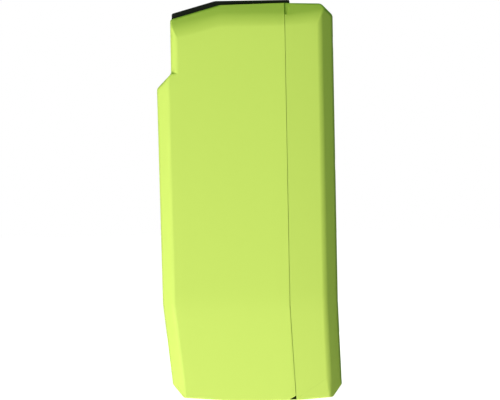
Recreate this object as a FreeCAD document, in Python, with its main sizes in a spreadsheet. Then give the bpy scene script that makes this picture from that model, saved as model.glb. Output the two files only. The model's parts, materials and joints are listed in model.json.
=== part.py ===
import FreeCAD, Part
import Sketcher
import math
import os

# Slide-in lithium-ion battery pack of a cordless push mower.
#
# X runs across the pack, Y from its front (-Y, where the latch is) to its rear, Z up.
# The origin is the middle of the foot.  Two lime shells meet at a parting line behind the
# middle and hold twenty round cells that lie across the pack in three columns of seven, seven
# and six.  The place of the missing cell, at the top of the front column, is the step of the
# casing, and the charge gauge sits behind it, under a sloping black cap.  The casing is worked
# out from the cells outwards: cell, room, wall.

ROWS = 7                  # cells in the rear and in the middle column
FRONT_ROWS = ROWS - 1     # cells in the front column
FAR = 200.0               # reach of a trimming shape, past every side of the pack
OVERCUT = 3.0             # how far a cutting shape runs past what it cuts

DRIVING_SIZES = [
    # cells and the two combs that hold them
    ("cell_dia", 18.5), ("cell_length", 65.2), ("cell_gap", 0.5),
    ("bead_depth", 0.4), ("bead_width", 1.0), ("bead_setback", 3.2), ("bore_clearance", 0.1),
    ("holder_depth", 13.0), ("holder_skin", 0.8), ("holder_lip", 1.0), ("window_dia", 13.0),
    ("strip_thick", 0.3), ("strip_width", 8.0), ("nib_dia", 8.0), ("strip_window", 8.0),
    ("tail_inset", 1.0), ("tail_width", 5.0),
    ("tie_dia", 3.0), ("tie_head_dia", 5.2), ("tie_head_thick", 1.0), ("sheet_thick", 0.3),
    # casing
    ("wall", 2.5), ("side_room", 10.9), ("front_room", 6.0), ("rear_room", 1.05),
    ("base_room", 12.5), ("head_room", 3.25), ("crease_height", 38.0), ("ledge_rise", 2.15),
    ("step_depth", 5.6), ("knee_room", 2.9), ("slope_angle", 15.4), ("crown_rise", 0.45),
    ("pad_lean", 0.8), ("toe_setback", 4.1), ("toe_height", 6.8), ("toe_bevel", 4.2),
    ("toe_rise", 1.6), ("heel_height", 5.8), ("heel_bevel", 3.6), ("heel_rise", 0.9),
    ("rear_flare", 1.0), ("rear_bevel", 4.5), ("land_front", 6.0), ("land_rear", 18.0),
    ("seam_setback", 18.7), ("seam_shift", 1.8), ("lower_taper", 2.1),
    ("front_draft", 0.8), ("rear_draft", 3.2), ("pad_bevel", 4.0), ("edge_bevel", 4.6),
    ("brow_bevel", 1.8), ("band_in", 3.6), ("band_down", 6.1),
    ("lip_thick", 1.1), ("lip_depth", 2.0), ("lip_clearance", 0.1),
    ("relief_height", 4.6), ("relief_width", 2.0), ("relief_depth", 0.5), ("rib_thick", 1.6),
    ("rib_clearance", 0.2), ("rib_setback", 3.0),
    ("notch_width", 20.0), ("notch_depth", 4.5), ("notch_wall", 2.0),
    ("label_width", 52.0), ("label_low", 48.0), ("label_high", 108.0), ("label_recess", 0.4),
    ("label_thick", 0.25),
    # screws of the casing
    ("screw_dia", 2.9), ("screw_head_dia", 5.0), ("screw_head_thick", 1.6), ("screw_length", 22.0),
    ("pilot_clearance", 0.05), ("hole_clearance", 0.15), ("counterbore_dia", 5.4),
    ("counterbore_depth", 1.8), ("post_dia", 6.0), ("post_clearance", 0.2), ("boss_length", 13.0),
    ("foot_screw_x", 35.0), ("foot_screw_z", 8.0),
    # terminals and the board under the cells
    ("socket_half", 30.0), ("socket_front", 4.0), ("socket_rear", 12.0), ("flange_lip", 1.5),
    ("flange_thick", 2.0), ("fit_clearance", 0.1), ("board_gap", 0.6), ("board_thick", 1.6),
    ("slot_width", 1.6), ("slot_length", 12.0), ("chamber_width", 5.0), ("slot_floor", 2.0),
    ("power_pitch", 22.0), ("signal_pitch", 9.0), ("leaf_thick", 0.6), ("blade_thick", 1.0),
    ("board_side_margin", 2.1), ("narrow_board_half", 19.0), ("wide_board_front", 6.0),
    ("wide_board_rear", 14.0), ("board_setback", 1.075), ("board_rear", 27.0),
    ("small_screw_dia", 2.2), ("small_head_dia", 4.0), ("small_head_thick", 1.2),
    ("small_screw_bite", 3.0), ("small_pilot_depth", 4.0),
    ("board_screw_x", 5.0), ("board_screw_y", 22.5), ("pillar_dia", 5.0),
    # cap, charge gauge and its button
    ("cap_rise", 1.75), ("cap_slope_thick", 2.1), ("cap_setback", 0.6), ("cap_overhang", 2.1),
    ("cap_margin", 3.0), ("button_x", 20.0), ("button_length", 14.0), ("button_depth", 7.0),
    ("button_clearance", 0.2), ("button_flange", 1.5), ("button_flange_thick", 1.0),
    ("button_travel", 0.5), ("button_rest_gap", 0.1), ("button_stem_dia", 4.0),
    ("switch_side", 6.0), ("switch_height", 3.5), ("plunger_dia", 3.0), ("plunger_rise", 0.8),
    ("well_floor", 1.0),
    ("gauge_depth", 6.4), ("gauge_board_half", 34.0), ("gauge_board_depth", 12.0),
    ("gauge_board_thick", 1.2), ("led_first_x", -24.0), ("led_pitch", 9.0), ("led_long", 3.2),
    ("led_wide", 1.6), ("led_height", 1.0), ("prong_long", 4.0), ("prong_wide", 2.4),
    ("led_gap", 0.3), ("guide_margin", 1.5), ("guide_thick", 1.8), ("gauge_screw_x", 31.0),
    # flat cable from the gauge to the board under the cells
    ("cable_x", -16.0), ("cable_width", 6.0), ("cable_thick", 0.8), ("plug_width", 8.0),
    ("plug_depth", 4.0), ("plug_height", 2.0), ("plug_inset", 0.5), ("cable_drop", 4.0),
    ("cable_cell_gap", 1.25), ("cable_holder_gap", 2.3), ("cable_slack", 2.2),
    ("foam_thick", 2.2), ("foam_setback", 1.0),
]

document = FreeCAD.newDocument("MowerBatteryPack")
sheet = document.addObject("Spreadsheet::Sheet", "Sizes")
worked = document.addObject("App::VarSet", "Worked")
subparts = []


class Length:
    """A length known twice: as the expression a property is bound to, and as its value now."""

    def __init__(self, text, value):
        self.text = text
        self.value = value

    def __add__(self, other):
        other = length_of(other)
        return Length(f"({self.text} + {other.text})", self.value + other.value)

    def __radd__(self, other):
        return length_of(other) + self

    def __sub__(self, other):
        other = length_of(other)
        return Length(f"({self.text} - {other.text})", self.value - other.value)

    def __rsub__(self, other):
        return length_of(other) - self

    def __mul__(self, other):
        other = length_of(other)
        return Length(f"({self.text} * {other.text})", self.value * other.value)

    def __rmul__(self, other):
        return length_of(other) * self

    def __truediv__(self, other):
        other = length_of(other)
        return Length(f"({self.text} / {other.text})", self.value / other.value)

    def __rtruediv__(self, other):
        return length_of(other) / self

    def __neg__(self):
        return Length(f"(0 - {self.text})", -self.value)


def length_of(number):
    """A plain number as a Length."""
    if isinstance(number, Length):
        return number
    return Length(repr(float(number)), float(number))


def sine(angle):
    return Length(f"sin({angle.text})", math.sin(math.radians(angle.value)))


def cosine(angle):
    return Length(f"cos({angle.text})", math.cos(math.radians(angle.value)))


def tangent(angle):
    return Length(f"tan({angle.text})", math.tan(math.radians(angle.value)))


def hypotenuse(a, b):
    return Length(f"sqrt({a.text} ^ 2 + {b.text} ^ 2)", math.hypot(a.value, b.value))


def size(alias):
    """A driving size from the sheet."""
    return Length(f"Sizes.{alias}", float(sheet.get(alias)))


def derive(name, length):
    """Keeps a worked-out size under its own name, beside the sheet."""
    worked.addProperty("App::PropertyFloat", name)
    worked.setExpression(name, length.text)
    return Length(f"Worked.{name}", length.value)


for row, (alias, value) in enumerate(DRIVING_SIZES, start=1):
    sheet.set(f"A{row}", alias.replace("_", " "))
    sheet.set(f"B{row}", str(value))
    sheet.setAlias(f"B{row}", alias)
document.recompute()


# ---------------------------------------------------------------------------------------------
# Making shapes
# ---------------------------------------------------------------------------------------------

ORIGIN_PLANES = {"across": "YZ_Plane", "front": "XZ_Plane", "plan": "XY_Plane"}


def bind(thing, **properties):
    """Binds properties, such as Length or Placement_Base_x, to lengths."""
    for name, length in properties.items():
        thing.setExpression(name.replace("_", "."), length_of(length).text)
    return thing


def draw_outline(sketch, points):
    """Adds one closed outline of straight lines, each corner tied to the sketch's origin."""
    first = sketch.GeometryCount
    count = len(points)
    for index in range(count):
        start, end = points[index], points[(index + 1) % count]
        sketch.addGeometry(Part.LineSegment(
            FreeCAD.Vector(length_of(start[0]).value, length_of(start[1]).value, 0),
            FreeCAD.Vector(length_of(end[0]).value, length_of(end[1]).value, 0)))
    for index in range(count):
        sketch.addConstraint(Sketcher.Constraint(
            "Coincident", first + index, 2, first + (index + 1) % count, 1))
    for index, point in enumerate(points):
        for kind, length in zip(("DistanceX", "DistanceY"), point):
            length = length_of(length)
            number = sketch.addConstraint(
                Sketcher.Constraint(kind, -1, 1, first + index, 1, length.value))
            sketch.setExpression(f"Constraints[{number}]", length.text)


def draw_circle(sketch, centre, radius):
    """Adds one circle, its centre tied to the sketch's origin."""
    centre = [length_of(length) for length in centre]
    radius = length_of(radius)
    index = sketch.addGeometry(Part.Circle(
        FreeCAD.Vector(centre[0].value, centre[1].value, 0), FreeCAD.Vector(0, 0, 1),
        radius.value))
    ties = [Sketcher.Constraint("DistanceX", -1, 1, index, 3, centre[0].value),
            Sketcher.Constraint("DistanceY", -1, 1, index, 3, centre[1].value),
            Sketcher.Constraint("Radius", index, radius.value)]
    for tie, length in zip(ties, centre + [radius]):
        number = sketch.addConstraint(tie)
        sketch.setExpression(f"Constraints[{number}]", length.text)


def body_sketch(body, view, outlines=(), circles=()):
    """A sketch on one of a body's own origin planes, of straight outlines and circles."""
    sketch = body.newObject("Sketcher::SketchObject", body.Name + "_sketch")
    plane = [feature for feature in body.Origin.OriginFeatures
             if feature.Role == ORIGIN_PLANES[view]][0]
    sketch.AttachmentSupport = [(plane, "")]
    sketch.MapMode = "FlatFace"
    for points in outlines:
        draw_outline(sketch, points)
    for centre, radius in circles:
        draw_circle(sketch, centre, radius)
    return sketch


def prism(name, view, outlines, long, circles=()):
    """A body padded evenly to both sides of an origin plane."""
    body = document.addObject("PartDesign::Body", name)
    pad = body.newObject("PartDesign::Pad", name + "_pad")
    pad.Profile = body_sketch(body, view, outlines, circles)
    pad.SideType = "Symmetric"
    bind(pad, Length=long)
    return body


def plate(name, outlines, x, thick, circles=()):
    """A body padded along +X from the place x."""
    body = document.addObject("PartDesign::Body", name)
    pad = body.newObject("PartDesign::Pad", name + "_pad")
    pad.Profile = body_sketch(body, "across", outlines, circles)
    bind(pad, Length=thick)
    return bind(body, Placement_Base_x=x)


def turned(name, profile):
    """A body turned about X from a profile of (along, radius) points."""
    body = document.addObject("PartDesign::Body", name)
    sketch = body_sketch(body, "plan", [profile])
    turn = body.newObject("PartDesign::Revolution", name + "_turn")
    turn.Profile = sketch
    turn.ReferenceAxis = (sketch, ["H_Axis"])
    turn.Angle = 360
    return body


def box(name, low, high):
    """A block from its lowest to its highest corner."""
    block = document.addObject("Part::Box", name)
    bind(block, Length=high[0] - low[0], Width=high[1] - low[1], Height=high[2] - low[2])
    return bind(block, Placement_Base_x=low[0], Placement_Base_y=low[1], Placement_Base_z=low[2])


ROUND_AXES = {"x": FreeCAD.Rotation(FreeCAD.Vector(0, 1, 0), 90),
              "y": FreeCAD.Rotation(FreeCAD.Vector(1, 0, 0), -90),
              "z": FreeCAD.Rotation()}


def rod(name, axis, start, radius, long):
    """A round bar that runs from start towards plus axis."""
    bar = document.addObject("Part::Cylinder", name)
    bar.Placement.Rotation = ROUND_AXES[axis]
    bind(bar, Radius=radius, Height=long)
    return bind(bar, Placement_Base_x=start[0], Placement_Base_y=start[1],
                Placement_Base_z=start[2])


def joined(name, pieces):
    whole = document.addObject("Part::MultiFuse", name)
    whole.Shapes = pieces
    whole.Refine = True
    return whole


def grouped(name, pieces):
    """Separate solids kept as one sub-part."""
    group = document.addObject("Part::Compound", name)
    group.Links = pieces
    return group


def shared(name, first, second):
    common = document.addObject("Part::Common", name)
    common.Base = first
    common.Tool = second
    return common


def less(name, base, *tools):
    """The base with every tool cut away."""
    cut = document.addObject("Part::Cut", name)
    cut.Base = base
    cut.Tool = tools[0] if len(tools) == 1 else joined(name + "_tools", list(tools))
    return cut


def slid(name, sketch, direction, forward, back):
    """A flat outline slid along a slanting direction."""
    slide = document.addObject("Part::Extrusion", name)
    slide.Base = sketch
    slide.DirMode = "Custom"
    slide.Dir = FreeCAD.Vector(*[length_of(length).value for length in direction])
    bind(slide, Dir_x=direction[0], Dir_y=direction[1], Dir_z=direction[2])
    slide.LengthFwd = forward
    slide.LengthRev = back
    slide.Solid = True
    return slide


def rectangle(low, high):
    return [(low[0], low[1]), (high[0], low[1]), (high[0], high[1]), (low[0], high[1])]


def keep_as(part, label):
    """Marks an object as a finished sub-part, under a label of its own."""
    part.Label = label
    subparts.append(part)
    return part


def keep(part):
    """Marks an object as a finished sub-part, under its own name."""
    return keep_as(part, part.Name)


# ---------------------------------------------------------------------------------------------
# Where things are
# ---------------------------------------------------------------------------------------------

cell_radius = derive("cell_radius", size("cell_dia") / 2)
cell_half = derive("cell_half", size("cell_length") / 2)
pitch = derive("pitch", size("cell_dia") + size("cell_gap"))
wall = size("wall")
pack_depth = derive("pack_depth", 2 * pitch + size("cell_dia") + size("front_room")
                    + size("rear_room") + 2 * wall + size("rear_flare"))
half_width = derive("half_width", cell_half + size("side_room") + wall)

y_front = derive("y_front", -pack_depth / 2)
y_rear_foot = derive("y_rear_foot", pack_depth / 2)
y_rear = derive("y_rear", y_rear_foot - size("rear_flare"))
y_rear_column = derive("y_rear_column", y_rear - wall - size("rear_room") - cell_radius)
y_middle_column = derive("y_middle_column", y_rear_column - pitch)
y_front_column = derive("y_front_column", y_middle_column - pitch)
z_first = derive("z_first", wall + size("base_room") + cell_radius)
z_front_last = derive("z_front_last", z_first + (FRONT_ROWS - 1) * pitch)
z_last = derive("z_last", z_first + (ROWS - 1) * pitch)

y_brow = derive("y_brow", y_front + size("step_depth"))
z_ledge = derive("z_ledge", z_front_last + size("ledge_rise"))
z_step = derive("z_step", z_ledge + size("step_depth"))
z_knee = derive("z_knee", z_last + cell_radius + size("head_room") + wall)
z_crown = derive("z_crown", z_knee + size("crown_rise"))
y_knee = derive("y_knee", y_middle_column - cell_radius - size("knee_room"))
z_brow = derive("z_brow", z_knee - (y_knee - y_brow) * tangent(size("slope_angle")))
y_seam = derive("y_seam", y_rear - size("seam_setback"))
z_crease = size("crease_height")

pack_front = derive("pack_front", y_front_column - cell_radius - size("holder_skin"))
pack_rear = derive("pack_rear", y_rear_column + cell_radius + size("holder_skin"))
pack_low = derive("pack_low", z_first - cell_radius - size("holder_skin"))
pack_high = derive("pack_high", z_last + cell_radius + size("holder_skin"))
pack_step = derive("pack_step", z_front_last + cell_radius + size("holder_skin"))
pack_shoulder = derive("pack_shoulder", y_middle_column - cell_radius - size("holder_skin"))
pack_corner = derive("pack_corner",
                     (2 - math.sqrt(2)) * (cell_radius + size("holder_skin")))
lip_x = derive("lip_x", cell_half + size("holder_lip"))
strip_x = derive("strip_x", lip_x + size("strip_thick"))
sheet_x = derive("sheet_x", strip_x + size("sheet_thick"))
board_top = derive("board_top", pack_low - size("board_gap"))
board_low = derive("board_low", board_top - size("board_thick"))
wide_board_half = derive("wide_board_half", strip_x + size("board_side_margin"))
board_front = derive("board_front", pack_front + size("board_setback"))
post_radius = derive("post_radius", size("post_dia") / 2)
screw_x = derive("screw_x", sheet_x + size("post_clearance") + post_radius)


def column_y(column):
    return {"front": y_front_column, "middle": y_middle_column, "rear": y_rear_column}[column]


def row_z(row):
    """The height of a row of cells, the lowest being row 1."""
    return z_first + (row - 1) * pitch


def pad_y(height):
    """The casing's front face at a height between the crease and the ledge."""
    return y_front + size("pad_lean") * (z_ledge - height) / (z_ledge - z_crease)


def seam_y(height):
    """The parting line at a height below the crease."""
    return y_seam + size("seam_shift") * (z_crease - height) / z_crease


# ---------------------------------------------------------------------------------------------
# The casing's block: outside, groove, lip and hollow are the same block at four insets
# ---------------------------------------------------------------------------------------------

MITRE = math.sqrt(2) - 1     # how far a 45 degree corner moves along its side per unit of inset
CLEAR = 20.0                 # how far a cutter stands out past the block's corner


def side_profile(inset):
    """The block's outline seen from its side, as (y, z) corners."""
    k = MITRE * inset
    slope = size("slope_angle")
    brow_drop = inset / cosine(slope) - inset * tangent(slope)
    return [
        (-size("land_front"), inset),
        (size("land_rear"), inset),
        (y_rear_foot - size("heel_bevel") - k, size("heel_rise") + inset),
        (y_rear_foot - inset, size("heel_height") + k),
        (y_rear - inset, z_crease),
        (y_rear - inset, z_knee - size("rear_bevel") - k),
        (y_rear - size("rear_bevel") - k, z_knee - inset),
        (y_seam, z_crown - inset),
        (y_knee + inset * tangent(slope / 2), z_knee - inset),
        (y_brow + inset, z_brow - brow_drop),
        (y_brow + inset, z_step - k),
        (y_front + inset, z_ledge - k),
        (y_front + size("pad_lean") + inset, z_crease),
        (y_front + size("toe_setback") + inset, size("toe_height") + k),
        (y_front + size("toe_setback") + size("toe_bevel") + k, size("toe_rise") + inset),
    ]


def plan_trims(inset):
    """The two strips that give the side faces their draft, seen from above."""
    side = half_width - inset
    front = side - (FAR + y_seam) * tangent(size("front_draft"))
    rear = side - (FAR - y_seam) * tangent(size("rear_draft"))
    right = [(front, -FAR), (FAR, -FAR), (FAR, FAR), (rear, FAR), (side, y_seam)]
    return [right, mirrored(right)]


def mirrored(points):
    return [(-length_of(x), y) for x, y in reversed(points)]


def cutter(name, view, place, corners, direction, forward, back):
    """A triangle or quadrangle drawn at a place of the block and slid along a direction."""
    sketch = document.addObject("Sketcher::SketchObject", name + "_outline")
    if view == "front":
        sketch.Placement.Rotation = FreeCAD.Rotation(FreeCAD.Vector(1, 0, 0), 90)
    bind(sketch, Placement_Base_x=place[0], Placement_Base_y=place[1], Placement_Base_z=place[2])
    draw_outline(sketch, corners)
    return slid(name, sketch, direction, forward, back)


def foot_cutters(name, inset):
    """Below the crease the sides lean in: one cut for each shell."""
    corner = (half_width - inset, y_seam, z_crease)
    reach = FAR * size("lower_taper") / z_crease
    wedge = [(0, 0), (-reach, -FAR), (CLEAR, -FAR), (CLEAR, 0)]
    front = (tangent(size("front_draft")), 1, 0)
    rear = (-tangent(size("rear_draft")), 1, 0)
    return [cutter(f"{name}_foot_front", "front", corner, wedge, front, 0, FAR),
            cutter(f"{name}_foot_rear", "front", corner, wedge, rear, FAR, 0)]


def upright_cutters(name, inset):
    """The 45 degree bevels of the upright edges, each with a bend at the crease."""
    taper = size("lower_taper") / z_crease
    loss = (2 - math.sqrt(2)) * inset
    pad_y = y_front + size("pad_lean") + inset
    pad_x = half_width - inset - (y_seam - pad_y) * tangent(size("front_draft"))
    pad_up = (0, -size("pad_lean") / (z_ledge - z_crease), 1)
    pad_down = (taper, (size("pad_lean") - size("toe_setback")) / (z_crease - size("toe_height")),
                1)
    rear_y = y_rear - inset
    rear_x = half_width - inset - (rear_y - y_seam) * tangent(size("rear_draft"))
    rear_down = (taper, -size("rear_flare") / (z_crease - size("heel_height")), 1)
    leg = size("pad_bevel") - loss
    pad = [(-leg - CLEAR, -CLEAR), (CLEAR, -CLEAR), (CLEAR, leg + CLEAR)]
    leg = size("edge_bevel") - loss
    rear = [(CLEAR, -leg - CLEAR), (CLEAR, CLEAR), (-leg - CLEAR, CLEAR)]
    pad_place, rear_place = (pad_x, pad_y, z_crease), (rear_x, rear_y, z_crease)
    return [cutter(f"{name}_pad_up", "plan", pad_place, pad, pad_up, FAR, 0),
            cutter(f"{name}_pad_down", "plan", pad_place, pad, pad_down, 0, FAR),
            cutter(f"{name}_rear_up", "plan", rear_place, rear, (0, 0, 1), FAR, 0),
            cutter(f"{name}_rear_down", "plan", rear_place, rear, rear_down, 0, FAR)]


def brow_cutter(name):
    """The small bevel of the upright edges above the step."""
    x = half_width - (y_seam - y_brow) * tangent(size("front_draft"))
    leg = size("brow_bevel")
    corner = [(-leg - OVERCUT, -OVERCUT), (OVERCUT, -OVERCUT), (OVERCUT, leg + OVERCUT)]
    return cutter(f"{name}_brow", "plan", (x, y_brow, z_step), corner, (0, 0, 1), FAR, 0)


def band_cutters(name, inset):
    """The slanting cuts along the top of the side: over the slope, and on each shell."""
    run, drop = size("band_in"), size("band_down")
    shift = inset * hypotenuse(run, drop)
    triangle = [(CLEAR, -drop - (drop * CLEAR + shift) / run), (CLEAR, CLEAR),
                (-(run * (drop + CLEAR) + shift) / drop, CLEAR)]
    slope = size("slope_angle")
    lines = {
        "slope": (y_knee, z_knee, cosine(slope), sine(slope)),
        "front": (y_knee, z_knee, y_seam - y_knee, z_crown - z_knee),
        "rear": (y_seam, z_crown, y_rear - size("rear_bevel") - y_seam, z_knee - z_crown),
    }
    return [cutter(f"{name}_band_{part}", "front", (half_width, y, z), triangle,
                   (0, along, up), FAR, FAR) for part, (y, z, along, up) in lines.items()]


def case_block(name, inset, brow=False):
    """The whole casing as one solid, every face moved in by the inset."""
    inset = length_of(inset)
    body = document.addObject("PartDesign::Body", name + "_block")
    pad = body.newObject("PartDesign::Pad", name + "_pad")
    pad.Profile = body_sketch(body, "across", [side_profile(inset)])
    pad.SideType = "Symmetric"
    bind(pad, Length=2 * (half_width - inset))
    trim = body.newObject("PartDesign::Pocket", name + "_trim")
    trim.Profile = body_sketch(body, "plan", plan_trims(inset))
    trim.Type = "ThroughAll"
    trim.SideType = "Symmetric"
    cutters = foot_cutters(name, inset) + upright_cutters(name, inset) + band_cutters(name, inset)
    if brow:
        cutters.append(brow_cutter(name))
    right = joined(name + "_cutters", cutters)
    left = document.addObject("Part::Mirroring", name + "_cutters_left")
    left.Source = right
    left.Normal = FreeCAD.Vector(1, 0, 0)
    return less(name, less(name + "_half", body, right), left)


def ahead_of_seam(name, offset):
    """Everything in front of the parting line, moved rearwards by the offset."""
    offset = length_of(offset)
    top, foot = y_seam + offset, y_seam + size("seam_shift") + offset
    return prism(name, "across", [[(-FAR, -FAR), (foot, -FAR), (foot, 0), (top, z_crease),
                                   (top, FAR), (-FAR, FAR)]], FAR)


outside = case_block("outside", 0, brow=True)
hollow = case_block("hollow", wall)
lip_outside = case_block("lip_outside", wall - size("lip_thick"))
groove_outside = case_block("groove_outside",
                            wall - size("lip_thick") - size("lip_clearance"))


# ---------------------------------------------------------------------------------------------
# Screws of the casing, driven from the rear
# ---------------------------------------------------------------------------------------------

SCREW_SIDES = (-1, 1)


def screw_places():
    """(name, x, z, the parting plane there, which side) for the six screws."""
    places = []
    heights = [("foot", size("foot_screw_x"), size("foot_screw_z"),
                seam_y(size("foot_screw_z"))),
               ("middle", screw_x, row_z(4) + pitch / 2, y_seam),
               ("top", screw_x, row_z(ROWS), y_seam)]
    for side in SCREW_SIDES:
        for level, x, z, plane in heights:
            hand = "left" if side < 0 else "right"
            places.append((f"{level}_{hand}", side * x, z, plane, side))
    return places


def rear_face_y(level_z):
    """The rear face at a screw: it flares out below the crease."""
    if level_z.value >= z_crease.value:
        return y_rear
    return y_rear + size("rear_flare") * (z_crease - level_z) / (z_crease - size("heel_height"))


def rear_furniture():
    """Posts around the screws, and the ribs that hold the foot of the cells."""
    pieces, holes = [], []
    for name, x, z, plane, _ in screw_places():
        face = rear_face_y(z)
        depth = face - wall / 2 - plane
        pieces.append(rod(f"post_{name}", "y", (x, plane, z), post_radius, depth))
        if name.startswith("foot"):
            pieces.append(box(f"post_{name}_rib", (x - size("rib_thick") / 2, plane, wall / 2),
                              (x + size("rib_thick") / 2, plane + depth, z)))
        seat = face - size("counterbore_depth")
        holes.append(rod(f"counterbore_{name}", "y", (x, seat, z),
                         size("counterbore_dia") / 2, FAR))
        holes.append(rod(f"hole_{name}", "y", (x, plane - OVERCUT, z),
                         size("screw_dia") / 2 + size("hole_clearance"), FAR))
    for x in rib_places():
        pieces.append(box(f"rear_rib_{len(pieces)}",
                          (x - size("rib_thick") / 2, y_seam + 2 * size("lip_depth"), wall / 2),
                          (x + size("rib_thick") / 2, y_rear, pack_low)))
    return pieces, holes


def rib_places():
    """Where the ribs stand that carry the two cell holders, from left to right."""
    inner = lip_x - size("holder_depth") + 2 * size("rib_thick")
    outer = lip_x - 2 * size("rib_thick")
    return [-outer, -inner, inner, outer]


def front_furniture():
    """Bosses for the screws, ribs around the cells, and the pillars of both boards."""
    pieces, holes = [], []
    for name, x, z, plane, side in screw_places():
        pieces.append(rod(f"boss_{name}", "y", (x, plane - size("boss_length"), z),
                          post_radius, size("boss_length")))
        if name.startswith("foot"):
            low = (x - size("rib_thick") / 2, plane - size("boss_length"), wall / 2)
            high = (x + size("rib_thick") / 2, plane, z)
        else:
            reach = side * (half_width - wall / 2)
            ends = sorted([x, reach], key=lambda length: length.value)
            low = (ends[0], plane - size("boss_length"), z - size("rib_thick") / 2)
            high = (ends[1], plane, z + size("rib_thick") / 2)
        pieces.append(box(f"boss_{name}_rib", low, high))
        holes.append(rod(f"pilot_{name}", "y", (x, plane - size("boss_length") + wall / 2, z),
                         size("screw_dia") / 2 + size("pilot_clearance"), FAR))
    reach = pack_front - size("rib_clearance")
    foot = pack_low - size("rib_clearance") / 2
    rib_end = -size("wide_board_front") - size("rib_setback")
    for number, x in enumerate(rib_places()):
        pieces.append(prism(f"front_rib_{number}", "across", [[
            (-FAR, wall / 2), (rib_end, wall / 2), (rib_end, pack_low),
            (pack_front + pack_corner, pack_low),
            (pack_front + pack_corner, foot), (reach, foot + pack_corner),
            (reach, row_z(FRONT_ROWS) - cell_radius), (-FAR, row_z(FRONT_ROWS) - cell_radius)]],
            size("rib_thick")))
        bind(pieces[-1], Placement_Base_x=x)
    for side in SCREW_SIDES:
        x = side * size("board_screw_x")
        name = "left" if side < 0 else "right"
        y = -size("board_screw_y")
        pieces.append(rod(f"pillar_{name}", "z", (x, y, wall), size("pillar_dia") / 2,
                          board_low - wall))
        holes.append(rod(f"pillar_hole_{name}", "z", (x, y, board_low - size("small_pilot_depth")),
                         size("small_screw_dia") / 2 + size("pilot_clearance"), FAR))
    return pieces, holes


# ---------------------------------------------------------------------------------------------
# The gauge's own frame: on the slope, x across, u up the slope, n out of it
# ---------------------------------------------------------------------------------------------

slope_y = derive("slope_y", (y_brow + y_knee) / 2)
slope_z = derive("slope_z", (z_brow + z_knee) / 2)
gauge_top = derive("gauge_top", -size("gauge_depth"))
LED_COUNT = 4


def on_slope(thing, x, u, n):
    """Turns an object to the slope and puts it at a place of the gauge's frame."""
    slope = size("slope_angle")
    thing.Placement.Rotation = FreeCAD.Rotation(FreeCAD.Vector(1, 0, 0), slope.value)
    thing.setExpression("Placement.Rotation.Angle", slope.text)
    x, u, n = length_of(x), length_of(u), length_of(n)
    return bind(thing, Placement_Base_x=x,
                Placement_Base_y=slope_y + u * cosine(slope) - n * sine(slope),
                Placement_Base_z=slope_z + u * sine(slope) + n * cosine(slope))


def slope_block(name, middle_x, long, deep, low, high):
    """A block on the slope, centred on x and u, from one level of n to another."""
    block = document.addObject("Part::Box", name)
    bind(block, Length=long, Width=deep, Height=high - low)
    return on_slope(block, middle_x - long / 2, -deep / 2, low)


def slope_rod(name, x, radius, low, high):
    bar = document.addObject("Part::Cylinder", name)
    bind(bar, Radius=radius, Height=high - low)
    return on_slope(bar, x, 0, low)


def led_x(number):
    return size("led_first_x") + number * size("led_pitch")


guide_middle = derive("guide_middle", led_x((LED_COUNT - 1) / 2))
guide_long = derive("guide_long", (LED_COUNT - 1) * size("led_pitch") + size("prong_long")
                    + 2 * size("guide_margin"))
guide_deep = derive("guide_deep", size("prong_wide") + 2 * size("guide_margin"))
flange_long = derive("flange_long", size("button_length") + 2 * size("button_flange"))
flange_deep = derive("flange_deep", size("button_depth") + 2 * size("button_flange"))


# ---------------------------------------------------------------------------------------------
# The two shells, the label and the screws
# ---------------------------------------------------------------------------------------------

def label_outline(depth_out, depth_in, margin):
    """A slab that follows the lean of the front face, between two depths below it."""
    low, high = size("label_low") - margin, size("label_high") + margin
    return [(pad_y(low) + depth_out, low), (pad_y(low) + depth_in, low),
            (pad_y(high) + depth_in, high), (pad_y(high) + depth_out, high)]


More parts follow.
